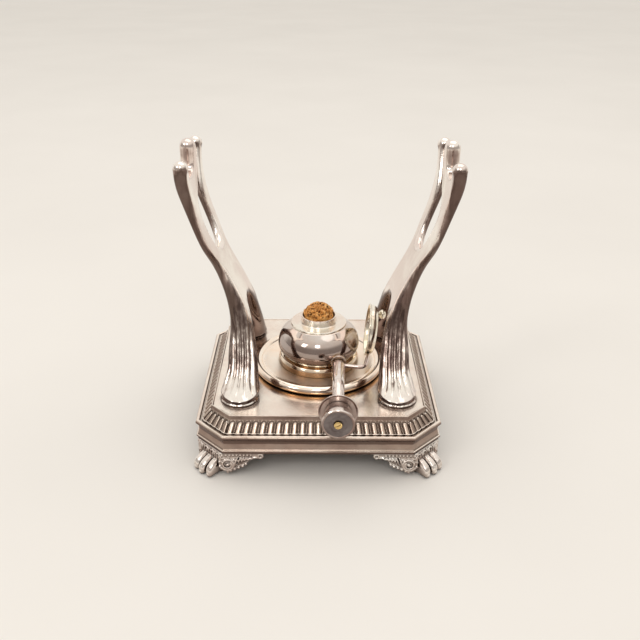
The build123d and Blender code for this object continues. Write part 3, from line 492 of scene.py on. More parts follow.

# looks given a shade table carry painted shade and reflection by facing; their hollows darken with tarnish
# and painted shade
tray_look = silver("plate_silver", CREAM, WARM, UMBER, 0.45, (0.12, 0.26), 0.003, TRAY, deep=(0.38, 0.93))
# the cast feet's near-black hollows are painted shade as well as tarnish
foot_look = silver(
    "cast_silver", (0.97, 0.93, 0.88), (0.80, 0.70, 0.65), (0.035, 0.025, 0.022), 0.4,
    (0.12, 0.26), 0.0019, CAST, deep=(0.46, 0.96),
)
support_look = silver(
    "support_silver", (0.99, 0.95, 0.89), (0.84, 0.74, 0.69), UMBER, 0.25,
    (0.05, 0.15), 0.004, DEEP, support_painted_light,
)
burner_look = silver("burner_silver", (0.92, 0.88, 0.85), WARM, GILT, 0.4, (0.04, 0.12), 0.003, BOWL)
ring_look = silver(
    "burner_ring_silver", (0.92, 0.85, 0.77), (0.78, 0.65, 0.52), (0.30, 0.20, 0.11), 0.5,
    (0.06, 0.16), 0.003, GOLDEN,
)
top_look = silver("top_silver", (0.93, 0.90, 0.82), WARM, GILT, 0.25, (0.14, 0.26), 0.002)
pan_look = silver(
    "pan_silver", (1, 0.92, 0.83), (0.98, 0.83, 0.70), GILT, 0.3,
    (0.34, 0.46), 0.002, PAN, polish=rim_polish,
)
handle_look = silver(
    "handle_silver", (0.88, 0.82, 0.78), (0.66, 0.52, 0.47), UMBER, 0.5,
    (0.08, 0.2), 0.003, SOFT,
)
snuffer_look = silver(
    "snuffer_silver", (0.95, 0.91, 0.83), (0.86, 0.77, 0.60), (0.42, 0.31, 0.17), 0.35,
    (0.10, 0.22), 0.002,
)
steel_look = silver(
    "screw_steel", (0.55, 0.53, 0.51), (0.42, 0.38, 0.35), (0.05, 0.04, 0.035), 0.6,
    (0.3, 0.5), 0.002,
)


def disc_look():
    """Dull plate in the knob's end."""
    look = Look("dulled_disc", metallic=1)
    clouds = look.noise(90, 5, 0.65, distortion=0.8)
    greys = [(0.3, (0.13, 0.105, 0.10)), (0.5, (0.19, 0.16, 0.155)), (0.72, (0.27, 0.24, 0.235))]
    look.colour(look.ramp(clouds, greys))
    look.rough(look.ramp(look.noise(150, 5, 0.7), [(0.3, 0.30), (0.7, 0.50)]))
    look.bump(look.noise(400, 3, 0.6), 0.15, 0.0003)
    return look.material


def brass_look():
    """Worn brass, with painted shade darkening its slot."""
    look = Look("worn_brass", metallic=1)
    # painted shade in the slot
    in_slot = look.ramp(look.crevice(0.001), [(0.3, 1), (0.85, 0)])
    metal = look.ramp(look.noise(500, 5, 0.6), [(0.3, (0.62, 0.40, 0.14)), (0.7, (0.86, 0.66, 0.32))])
    look.colour(look.mix(in_slot, metal, (0.09, 0.055, 0.03)))
    look.rough(look.ramp(look.noise(700, 4, 0.6), [(0.3, 0.2), (0.7, 0.4)]))
    look.bump(look.noise(1200, 3), 0.2, 0.0001)
    return look.material


def wick_look():
    """Cotton scorched to amber and brown, with black specks."""
    look = Look("scorched_wick")
    fibres = look.noise(300, 6, 0.7, stretch=(1, 1, 0.6), distortion=1.6)
    burns = [(0.27, (0.13, 0.040, 0.012)), (0.39, (0.54, 0.19, 0.035))]
    burns += [(0.50, (0.82, 0.37, 0.080)), (0.64, (0.95, 0.60, 0.24))]
    amber = look.ramp(fibres, burns)
    specks = look.ramp(look.noise(330, 3, 0.5), [(0.60, 0), (0.68, 1)])
    amber = look.mix(specks, amber, (0.05, 0.018, 0.009))
    # painted shade: the wick darkens in its hollows
    hollows = look.ramp(look.crevice(0.0016), [(0.25, 1), (0.8, 0)])
    look.colour(look.mix(hollows, amber, (0.10, 0.034, 0.012)))
    look.rough(look.ramp(fibres, [(0.3, 0.75), (0.7, 0.45)]))
    look.bump(fibres, 0.5, 0.0006)
    return look.material


# ---- tray
SHEET = 1.6  # thickness of its sheet
PLATE_INSET = 15.0  # edge of the tray to the flat plate
SLOPE_FOOT = 4.6  # edge of the tray to the foot of the fluted slope
SLOPE_RUN, SLOPE_RISE = 7.6, 8.6
SLOPE_STEPS = 40
FLUTES_LONG, FLUTES_CANTED = 23, 5
FLUTE_PITCH, FLUTE_LENGTH = 6, 11.5
FLUTE_COLUMNS = 28  # points across a flute
MITRE = 0.35  # how near to a corner the flutes fade
PLATE_RINGS = 24


def tray_outline():
    """Section of the tray: (inset from the edge, height, w), w 0..1 up the fluted slope and -1 elsewhere."""
    skin = [
        (2.8, -14, 0), (1.2, -14, 0.2), (1.2, -13, 0.2), (0.15, -12.4, 0.5), (0.15, -11.1, 0.5),
        (0.9, -10.8, 0.3), (1.7, -9.6, 0.8), (2.6, -5.5, 4), (2.2, -3, 1.2), (1.3, -1.7, 0.4),
        (0.1, -0.9, 0.8), (0.1, 1, 1), (1.4, 2, 0.9), (2.9, 1.7, 0.8), (3.4, 0.55, 0.3),
        (4.5, 0.5, 0.2),
    ]
    lip = [
        (12.2, 9.1, 0), (12.35, 9.8, 0.3), (12.45, 12.2, 0.3), (12.65, 12.72, 0.3), (13.2, 12.72, 0.35),
        (13.75, 12.1, 0.3), (14.3, 12, 0.2), (PLATE_INSET, 12, 0),
    ]
    slope = [k / SLOPE_STEPS for k in range(SLOPE_STEPS + 1)]
    rows = [(inset, z, -1) for inset, z in rounded(raised(RIM, skin), 0.4)]
    rows += [(SLOPE_FOOT + SLOPE_RUN * w, RIM + 0.5 + SLOPE_RISE * w, w) for w in slope]
    return rows + [(inset, z, -1) for inset, z in rounded(raised(RIM, lip), 0.3)[1:]]


def dome(distance, half, power=2):
    """1 at distance 0 and 0 from half on, round for power 2 and flatter on top above that."""
    return np.sqrt(np.clip(1 - (distance / half) ** power, 0, 1))


def flute(u, w):
    """Relief of one flute. u runs -0.5..0.5 across it, w 0..1 up the slope."""
    x = np.abs(u) * FLUTE_PITCH
    y = w * FLUTE_LENGTH
    # tongue with a round top, in a sunk channel
    tongue_half = 2.0
    over = np.maximum(0, y - (FLUTE_LENGTH - 1.1 - tongue_half))
    tongue = dome(np.sqrt(x**2 + over**2), tongue_half, 3.6) * 1.55
    # thin raised line between two flutes, which closes over each tongue like an arch
    arch = np.where(over > 0, np.sqrt(x**2 + (over * 0.9) ** 2), x)
    line = dome(np.abs(arch - np.where(over > 0, 2.8, 2.95)), 0.36) * (0.85 + 0.6 * smoothstep(0, 1.2, over))
    # flat web above the arches
    web = 1.05 * smoothstep(FLUTE_LENGTH - 1, FLUTE_LENGTH - 0.5, y)
    # scalloped lip at the foot of the slope
    foot = dome(y - 0.8 - 0.55 * (x / 3) ** 2, 0.65) * 1.85
    return np.maximum(np.maximum(tongue, line), np.maximum(web, foot)) - 1.25


def tray_side(angle, inset):
    """A side of the tray, drawn in by inset: outward and along it, its distance and half its length."""
    a = radians(angle)
    outward = np.array([cos(a), sin(a), 0])
    along = np.array([-sin(a), cos(a), 0])
    if angle % 90 == 0:
        return outward, along, HALF - inset, HALF - CUT - (sqrt(2) - 1) * inset
    return outward, along, CANTED - inset, (CUT - (2 - sqrt(2)) * inset) / sqrt(2)


def tray_shell():
    """Outer skin: the section along the eight sides, with the flutes raised from its slope."""
    rows = tray_outline()
    verts, faces = [], []
    for angle in range(0, 360, 45):
        flutes = FLUTES_LONG if angle % 90 == 0 else FLUTES_CANTED
        columns = flutes * FLUTE_COLUMNS + 1
        t = np.linspace(-1, 1, columns)
        u = (t + 1) / 2 * flutes
        u = u - np.floor(np.minimum(u, flutes - 1e-6)) - 0.5
        base = len(verts)
        for inset, z, w in rows:
            outward, along, distance, half = tray_side(angle, inset)
            line = outward * distance + np.outer(half * t, along) + (0, 0, z)
            if w >= 0:
                lift = flute(u, w) * smoothstep(0, 0.02, w) * (1 - smoothstep(0.985, 1, w))
                # the relief fades into the mitre at a corner
                mitre = smoothstep(0, MITRE / half, 1 - np.abs(t))
                lift = lift * mitre - 0.1 * (1 - mitre)
                normal = (outward * SLOPE_RISE + (0, 0, SLOPE_RUN)) / hypot(SLOPE_RISE, SLOPE_RUN)
                line = line + np.outer(lift, normal)
            verts.extend(line)
        for i in range(len(rows) - 1):
            for k in range(columns - 1):
                q = base + i * columns + k
                faces.append((q, q + 1, q + columns + 1, q + columns))
    shell = mesh_object("tray_shell", verts, faces)
    clean(shell, 0.00003)
    return shell


def tray_corners(inset, z):
    """The eight corners of the tray, drawn in by inset, at a height."""
    corners = []
    for angle in range(0, 360, 45):
        outward, along, distance, half = tray_side(angle, inset)
        corners.append(outward * distance - along * half + (0, 0, z))
    return corners


def tray_plate():
    """Flat top of the plate, in rings that narrow to its middle."""
    corners = tray_corners(PLATE_INSET, PLATE)
    verts = []
    for k in range(PLATE_RINGS, 0, -1):
        verts += [corner * (k / PLATE_RINGS, k / PLATE_RINGS, 1) for corner in corners]
    verts.append((0, 0, PLATE))
    inmost = (PLATE_RINGS - 1) * 8
    fan = [(inmost + i, inmost + (i + 1) % 8, inmost + 8) for i in range(8)]
    return mesh_object("tray_plate_top", verts, grid(PLATE_RINGS - 1, 8) + fan)


def tray_underside():
    """Inner skin of the sheet, seen from below."""
    rows = [(2.8, APRON), (3.8, RIM - 7), (SLOPE_FOOT, RIM - 1.1), (7.2, RIM - 1.1), (13, PLATE - SHEET)]
    rows.append((PLATE_INSET, PLATE - SHEET))
    verts, faces = [], []
    for angle in range(0, 360, 45):
        base = len(verts)
        for inset, z in rows:
            outward, along, distance, half = tray_side(angle, inset)
            verts += [outward * distance + along * half * t + (0, 0, z) for t in (-1, 1)]
        for q in range(base, len(verts) - 2, 2):
            faces.append((q, q + 2, q + 3, q + 1))
    faces.append(tuple(len(verts) + i for i in range(8))[::-1])
    verts += tray_corners(PLATE_INSET, PLATE - SHEET)
    under = mesh_object("tray_under", verts, faces)
    under.data.shade_flat()
    return under


def tray_bosses():
    """Bosses under the corners, which the feet are screwed to."""
    low, high, outer = RIM - 11, PLATE - SHEET, 5.0
    profile = [(SCREW_HOLE, low, 0), (outer, low, 0.4), (outer, high, 0), (SCREW_HOLE, high, 0)]
    bosses = []
    for angle in CORNERS.values():
        a = radians(angle)
        place = (SCREW_REACH * cos(a), SCREW_REACH * sin(a), 0)
        bosses.append(lathe("boss", band(profile, 0.3, 3), place, segments=40))
    return bosses


tray = join("tray_body", [tray_shell(), tray_plate(), tray_underside()] + tray_bosses())
finish_piece(tray, "stand", tray_look, "base_tray")


# ---- pan
def pan_piece():
    bead_place, bead = 50.5, 3.6  # radii of the bead's circle and of the bead itself
    profile = [(0, PLATE + 0.02), (49, PLATE + 0.02)]
    for a in np.linspace(radians(-90), radians(160), 34):
        profile.append((bead_place + bead * cos(a), PLATE + bead + bead * sin(a)))
    profile += [(46.6, SEAT + 0.12), (45.2, SEAT), (0, SEAT)]
    return lathe("pan_dish", profile, segments=220)


finish_piece(pan_piece(), "stand", pan_look, "burner_pan")


# ---- burner
RING = [
    (31.4, 0, 0), (32.95, 0, 0.4), (32.95, 4.6, 1.2), (31.6, 6.9, 1.2), (28.4, 7.7, 0.5), (27.6, 9, 0.3),
    (17, 9, 0), (17, 7.4, 0), (25.9, 7.4, 0), (31.4, 3.4, 0),
]
# flat top with its collar, and the plug below it
COVER = [
    (12.5, -8.6, 0), (16.7, -8.6, 0.3), (16.7, -1.6, 0), (22.7, -1.6, 0.3), (22.7, -0.05, 0.5),
    (15, -0.12, 0.6), (14.35, 0.7, 0.5), (14.35, COLLAR - 0.9, 0.4), (14.4, COLLAR, 0.45),
    (13.2, COLLAR, 0.4), (13.2, 0, 0), (12.5, -1.6, 0),
]


def burner_bowl():
    """Bowl with its floor, and the socket that the handle turns in."""
    wall, floor, floor_top, top = 1.2, 9.02, 10.2, 34.1
    belly = [(27.5, floor), (31.6, 11.4), (33.55, 16.3), (32.4, 23.2), (29.2, 28.9), (22.7, top)]
    outer = spline(raised(SEAT, belly), 46)
    inner = [(r - wall, z if z < SEAT + 33 else z - wall) for r, z in outer][::-1]
    profile = raised(SEAT, [(17, floor)]) + outer
    profile += raised(SEAT, [(17.02, top), (17.02, top - wall)]) + inner[:-1]
    profile += raised(SEAT, [(26.2, floor_top), (0, floor_top), (0, floor)])
    bowl = lathe("burner_bowl_shell", profile, segments=220)
    socket = [(1.64, 21, 0), (6.25, 21, 0), (6.25, 32.9, 0.7), (1.64, 32.9, 0.2)]
    socket = lathe("burner_socket", band(socket), AXIS_START, AXIS, segments=72)
    return join("burner_bowl_body", [bowl, socket])


ring = lathe("burner_base_ring", band(raised(SEAT, RING)), segments=180)
bowl = burner_bowl()
cover = lathe("burner_cover", band(raised(FLAT_TOP, COVER)), segments=180)
finish_piece(ring, "burner", ring_look, "burner_foot")
finish_piece(bowl, "burner", burner_look, "burner_bowl")
finish_piece(cover, "burner", top_look, "burner_top")


# ---- turning handle
def handle_point(x, y, s):
    """Place of a point to the right of, above and along the handle's axis."""
    side = Vector((0, 0, 1)).cross(AXIS)
    return AXIS_START + side * x + Vector((0, 0, y)) + AXIS * s


def along_handle(name, points, look, node, segments=140, radius=0.3):
    """Piece turned round the handle's axis, from points (distance along it, radius, rounding)."""
    profile = [(y, x, *rest) for x, y, *rest in points]
    obj = lathe(name, band(profile, radius), AXIS_START, AXIS, segments=segments)
    finish_piece(obj, "snuffer", look, node)


STEM = [
    (33.3, BORE, 0), (33.3, 3.2, 0.8), (36.2, 5, 2), (39.5, 5.35, 2.5), (60, 4.95, 4), (102.9, 4.1, 0),
    (102.9, BORE, 0),
]
# the guard is dished towards the hand
GUARD = [(103, BORE, 0), (103, 9, 1), (103.3, 13.6, 0.8), (104.2, 14.6, 0.5), (104.75, 14.4, 0.3)]
GUARD += [(104.3, 12.9, 0.5), (104.8, 9, 0.6), (104.8, BORE, 0)]
GRIP = [(104.8, BORE, 0), (104.8, 9.6, 0.5), (106, 9.75, 0.5), (119.4, 12.05, 0.5), (120.1, 12.15, 0.4)]
GRIP += [(120.8, 11.4, 0.35), (120.75, 10.25, 0.15), (119.8, 10.2, 0), (119.8, BORE, 0)]
# the disc has two fine turned lines
DISC = [(119.8, BORE, 0), (119.8, 10.2, 0), (120.72, 10.2, 0.1), (120.8, 9.9, 0.1), (120.8, 9.2, 0.1)]
DISC += [(120.66, 9, 0.1), (120.74, 6.4, 0.1), (120.6, 6.2, 0.1), (120.6, 5.9, 0.1), (120.74, 5.7, 0.1)]
DISC += [(120.8, 4.2, 0.1), (120.8, BORE, 0)]

along_handle("handle_stem", STEM, handle_look, "handle_tube", segments=96)
along_handle("handle_guard", GUARD, handle_look, "handle_flange")
along_handle("handle_grip", GRIP, handle_look, "handle_knob")
along_handle("handle_end_disc", DISC, disc_look(), "handle_disc", radius=0.1)


def slotted_head(name, radius, base, top, slot_width, slot_depth, turn):
    """Domed screw head with a sawn slot, on the handle's axis."""
    rings, around = 26, 96
    droop, soft_edge = 0.35, 0.06
    directions = [(cos(a), sin(a)) for a in circle(around)]
    verts = []
    for i in range(rings + 1):
        f = i / rings
        for c, s in directions:
            x, y = radius * f * c, radius * f * s
            across = abs(x * sin(turn) - y * cos(turn))
            height = top - (top - base) * droop * f**3
            in_slot = 1 - float(smoothstep(slot_width / 2 - soft_edge, slot_width / 2 + soft_edge, across))
            verts.append(handle_point(x, y, height - slot_depth * in_slot))
    verts += [handle_point(radius * c, radius * s, base) for c, s in directions]
    foot = tuple((rings + 1) * around + k for k in range(around))
    return clean_object(name, verts, grid(rings + 1, around, flipped=True) + [foot])


def spindle_rod():
    start, head_base, head_top = 21.5, 121.1, 122.5
    head = slotted_head("spindle_head", 2.9, head_base, head_top, 0.9, 0.7, radians(28))
    profile = [(0, start), (1.6, start), (1.6, head_base), (0, head_base)]
    return join("brass_spindle_rod", [head, lathe("spindle_shank", profile, AXIS_START, AXIS, 40)])


finish_piece(spindle_rod(), "burner", brass_look(), "handle_spindle")


# ---- snuffer, made closed and swung open
CAP_RIM = 87.4  # its level on the burner when closed


def swing_open(obj):
    turn = Matrix.Rotation(-SWING, 4, AXIS)
    place = Matrix.Translation(AXIS_START * MM)
    obj.data.transform(place @ turn @ place.inverted())
    return obj


def inside_of_cap(r, h):
    """A wall's thickness in from a point of the cap's outside; the wall fades out towards the rim."""
    wall = 0.8
    if r < 19.6:
        return max(r - wall, 0), h - wall
    return max(r - wall, 0), h - (wall * (19.9 - r + 0.6) if r < 20.6 else 0)


def cap_piece():
    points = [(21.3, 0.3), (21, 1.4), (20.6, 3.6), (19.6, 5.6), (17.6, 6.95), (14.5, 7.4), (9, 7.7)]
    outer = spline(points + [(0, 7.8)], 60)
    inner = [inside_of_cap(r, h) for r, h in outer][::-1]
    lip = [(20.5, 0.25), (20.75, 0), (21.5, 0), (21.8, 0.3), (21.8, 0.8), (21.45, 1.15)]
    return swing_open(lathe("cap_shell", raised(CAP_RIM, outer[5:] + inner[:-3] + lip), segments=200))


def thumb_piece():
    """Small turned knob on the cap's shoulder."""
    points = [(2.75, 7), (2.2, 8), (1.95, 9), (2.7, 9.9), (3.75, 11), (4, 12.2), (3.3, 13.8)]
    points += [(1.6, 14.7), (0, 14.8)]
    profile = raised(CAP_RIM, spline(points, 40) + [(0, 7)])
    return swing_open(lathe("thumb_knob", profile, (-10.25, 10.25, 0), segments=64))


def arm_piece():
    """Bent rod from the handle to the cap, flared at its root and thin at its tip."""
    radius, bend, taper = 1.6, 6, 7
    root, knee, tip = handle_point(2.7, 0, 36.5), handle_point(21, -0.8, 38.1), Vector((41.48, -14.24, 65.9))
    before = knee + (root - knee).normalized() * bend
    after = knee + (tip - knee).normalized() * bend
    path = [root.lerp(before, k / 10) for k in range(10)]
    path += [before * (1 - t) ** 2 + knee * 2 * t * (1 - t) + after * t * t for t in np.linspace(0, 1, 14)]
    path += [after.lerp(tip, k / 16) for k in range(1, 17)]
    radii = [2.1, 1.8] + [radius] * (len(path) - 2)
    for k in range(taper):
        radii[-1 - k] = radius * (0.55 + 0.45 * k / (taper - 1))
    return tube("snuffer_rod", path, radii, 28)


finish_piece(cap_piece(), "snuffer", snuffer_look, "snuffer_cap")
finish_piece(thumb_piece(), "snuffer", snuffer_look, "snuffer_thumb")
finish_piece(arm_piece(), "snuffer", handle_look, "snuffer_arm")

# ---- wick
WICK_RADIUS = 11.9
WICK_SHOULDER = 94.0  # level where its side turns into its dome
WICK_CROWN = 7.6  # height of the dome
STRANDS = 260


def wick_core():
    """Upright cotton with a lumpy dome."""
    around, rows = 120, 54
    verts = []
    for i in range(rows + 1):
        t = i / rows
        if t < 0.5:
            radius, z = WICK_RADIUS, WICK_BASE + (WICK_SHOULDER - WICK_BASE) * t / 0.5
        else:
            a = (t - 0.5) / 0.5 * pi / 2
            radius, z = WICK_RADIUS * cos(a) ** 0.75, WICK_SHOULDER + WICK_CROWN * sin(a)
        for b in circle(around):
            p = Vector((radius * cos(b), radius * sin(b), z))
            if z > WICK_SHOULDER - 2:
                lump = noise.noise(p * 0.22 + Vector((3, 1, 2))) * 3.4 + noise.noise(p * 0.45) * 3.2
                lump += noise.noise(p * 1.2) * 1.0
                n = Vector((p.x / 12, p.y / 12, (z - WICK_SHOULDER) / 8 + 0.15)).normalized()
                p = p + n * min(1.4 * lump - 1.5, 0.9) * float(smoothstep(92, 96, z))
            verts.append(p)
    return clean_object("wick_core", verts, grid(rows, around) + [tuple(range(around))[::-1]])


def wick_strand(draw):
    """Frayed strand that lies on the dome, a short bent thread."""
    a, b = draw.uniform(0, 2 * pi), acos(draw.uniform(0.02, 1))
    centre = Vector((11.4 * sin(b) * cos(a), 11.4 * sin(b) * sin(a), 94.4 + 8.2 * cos(b)))
    normal = Vector((centre.x / 12, centre.y / 12, (centre.z - 94.2) / 8)).normalized()
    tangent = Matrix.Rotation(draw.uniform(0, 2 * pi), 3, normal) @ normal.orthogonal().normalized()
    other = normal.cross(tangent)
    length, bend = draw.uniform(1.6, 3.4), draw.uniform(-0.9, 0.9)
    path = []
    for s in np.linspace(-0.5, 0.5, 6):
        lift = draw.uniform(-0.1, 0.25) + 0.55 * (1 - 4 * s * s)
        path.append(centre + tangent * length * s + other * bend * (s * s - 0.1) * 3 + normal * (lift - 0.6))
    width = draw.uniform(0.28, 0.5)
    return tube("strand", path, [width * w for w in (0.5, 0.9, 1, 1, 0.9, 0.5)], 6)


draw = np.random.RandomState(7)
wick_piece = join("frayed_wick", [wick_core()] + [wick_strand(draw) for _ in range(STRANDS)])
finish_piece(wick_piece, "burner", wick_look(), "wick")
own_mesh(wick_piece)

# ---- supports
LOBES = 12  # round the foot of a leg
LOBE_DEPTH = 2.1
LOBED_ARC = radians(95), radians(125)  # the lobes fade out between these, from the leg's outside
PRONGS = 194, 204  # levels between which the legs give way to the slim prongs and fingers
PAD_RADIUS, SOLE_RADIUS = 14, 14.9


def remeshed(name, source, voxel, smooth, factor=0.5):
    """New object from a mesh, made even with a voxel remesh of the given size in metres and smoothed."""
    obj = add_object(name, source.copy())
    modifier = obj.modifiers.new("remesh", "REMESH")
    modifier.mode = "VOXEL"
    modifier.voxel_size = voxel
    modifier.adaptivity = 0
    soft = obj.modifiers.new("smooth", "SMOOTH")
    soft.iterations = smooth
    soft.factor = factor
    mesh = bpy.data.meshes.new_from_object(obj.evaluated_get(bpy.context.evaluated_depsgraph_get()))
    obj.modifiers.clear()
    obj.data = mesh
    mesh.shade_smooth()
    return obj


def read_points(obj, what="co"):
    """Places of an object's points in metres, or their normals where what is normal."""
    values = np.empty(len(obj.data.vertices) * 3)
    obj.data.vertices.foreach_get(what, values)
    return values.reshape(-1, 3)


def set_points(obj, points):
    obj.data.vertices.foreach_set("co", points.ravel())
    obj.data.update()


def relax(obj, points, weight, rounds):
    """Points evened out along the mesh's edges, each by its own weight."""
    ends = np.empty(len(obj.data.edges) * 2, dtype=np.int64)
    obj.data.edges.foreach_get("vertices", ends)
    start, end = ends.reshape(-1, 2).T
    size = len(points)
    degree = np.bincount(ends, minlength=size)
    for _ in range(rounds):
        moved = np.empty_like(points)
        for k in range(3):
            total = np.bincount(start, points[end, k], size)
            total += np.bincount(end, points[start, k], size)
            moved[:, k] = points[:, k] + 0.5 * weight * (total / degree - points[:, k])
        points = moved
    return points


def leg_centres(points, end):
    """Middle of a leg in x and y at a run of levels, for the lobes to spread from."""
    levels = np.arange(48, 140, 3)
    legs_meet = 86
    middles = []
    for height in levels:
        ring = points[(np.sign(points[:, 1]) == end) & (np.abs(points[:, 2] - height) < 1.6)]
        edge = np.abs(ring[:, 1]).max()
        if height < legs_meet:
            half = (edge - np.abs(ring[:, 1]).min()) / 2
        middles.append((ring[:, 0].max() / 2 + ring[:, 0].min() / 2, end * (edge - half)))
    middles = np.array(middles)
    for _ in range(6):
        middles[1:-1] = middles[:-2] / 4 + middles[1:-1] / 2 + middles[2:] / 4
    return levels, middles


def sculpt_support(name, side):
    """Copy of a support's solid with softened edges, and lobes round the foot of each leg."""
    obj = remeshed(name + "_cast", frame["nodes"][name].data, 0.0007, 8)
    points = read_points(obj) / MM
    z = points[:, 2].copy()
    flare = smoothstep(47.6, 50, z) * (1 - smoothstep(84, 104, z))
    points = relax(obj, points, flare, 420)
    points = relax(obj, points, smoothstep(48.4, 52, z) * (1 - 0.8 * smoothstep(*PRONGS, z)), 42)
    z = points[:, 2].copy()
    set_points(obj, points * MM)
    normals = read_points(obj, "normal")
    # outwards again, by what the smoothing took off
    moved = points + normals * (0.4 - 0.3 * smoothstep(*PRONGS, z) + 1.1 * flare)[:, None]
    for end in (-1, 1):
        levels, middles = leg_centres(points, end)
        cx, cy = np.interp(z, levels, middles[:, 0]), np.interp(z, levels, middles[:, 1])
        own = np.sign(points[:, 1]) == end
        angle = np.arctan2(points[:, 1] - cy, points[:, 0] - cx)
        outward = atan2(end * 1, side * 0.45)
        away = np.abs((angle - outward + pi) % (2 * pi) - pi)
        share = (1 - smoothstep(*LOBED_ARC, away)) * smoothstep(50, 58, z) * (1 - smoothstep(84, 118, z))
        wave = np.sqrt(np.cos((angle - outward) * LOBES / 2) ** 2 + 0.02) / 1.01
        moved -= normals * np.where(own, LOBE_DEPTH * share * (1 - wave**0.6), 0)[:, None]
        # the pad is round, and drawn in above its thin sole
        radius = np.hypot(moved[:, 0] - cx, moved[:, 1] - cy)
        pad = PAD_RADIUS + 1.8 * smoothstep(48, 55, z) + 12 * smoothstep(54, 64, z)
        limit = np.where(z < 48, SOLE_RADIUS, pad)
        shrink = np.where(own & (z < 64), np.minimum(1, limit / radius), 1)
        moved[:, 0] = cx + (moved[:, 0] - cx) * shrink
        moved[:, 1] = cy + (moved[:, 1] - cy) * shrink
    set_points(obj, moved * MM)
    clean(obj, 1e-7)
    finish_piece(obj, "stand", support_look, name)


sculpt_support("support_left", -1)
sculpt_support("support_right", 1)


# ---- feet, made once and turned to each corner
BRACKET_TURN = radians(45)  # a straight side, seen from the corner's diagonal
VOLUTE = 3.2, 10.4  # its middle: corner of the apron to it, and how far below the apron
TOE_ROOT, TOE_LENGTH = 113, 15.2  # centre of the tray to the toes' roots, and on to their tips
TOE_SHORTER = 1.2  # how much shorter the two outer toes are
LEAF_PITCH = 7.1


def blob(centre, radii):
    """Ellipsoid from a centre and three radii."""
    rows, around = 14, 20
    verts = []
    for i in range(rows + 1):
        a = pi * i / rows
        for b in circle(around):
            place = (sin(a) * cos(b), sin(a) * sin(b), cos(a))
            verts.append(Vector(centre) + Vector([r * p for r, p in zip(radii, place)]))
    return clean_object("blob", verts, grid(rows, around, flipped=True))


def loft(sections, power):
    """Closed form through sections, each (centre, half width vector, half height vector).
    A section is an ellipse for power 2 and nearer to a box above that."""
    around = 36
    verts = []
    for centre, wide, high in sections:
        for a in circle(around):
            x, y = (copysign(abs(v) ** (2 / power), v) for v in (cos(a), sin(a)))
            verts.append(Vector(centre) + Vector(wide) * x + Vector(high) * y)
    return clean_object("loft", verts, capped(len(sections) - 1, around))


def slab(outline, place, back, front):
    """Plate with an outline of (s, h) points; place(s, h, depth) gives its points."""
    n = len(outline)
    verts = [place(s, h, depth) for depth in (back, front) for s, h in outline]
    faces = [tuple(range(n)), tuple(range(n, 2 * n))[::-1]]
    faces += [(i, (i + 1) % n, n + (i + 1) % n, n + i) for i in range(n)]
    return clean_object("slab", verts, faces)


BRACKET_EDGE = [
    (-3, -0.6), (31, -0.6), (31.4, 0.7), (30.4, 1.4), (31.3, 3.2), (30.2, 4.9), (27.4, 5.2), (25, 4.5),
    (22.8, 4.9), (20.2, 6.6), (18.2, 8.9), (17.4, 11.6), (15.2, 12), (14.4, 13.4), (12.2, 13.5), (11, 15),
    (9, 15.2), (7.6, 16.6), (5.4, 16.6), (3.2, 17.6), (0.6, 16.4), (-2.2, 14.6), (-3.6, 10.6), (-3.2, 5),
]


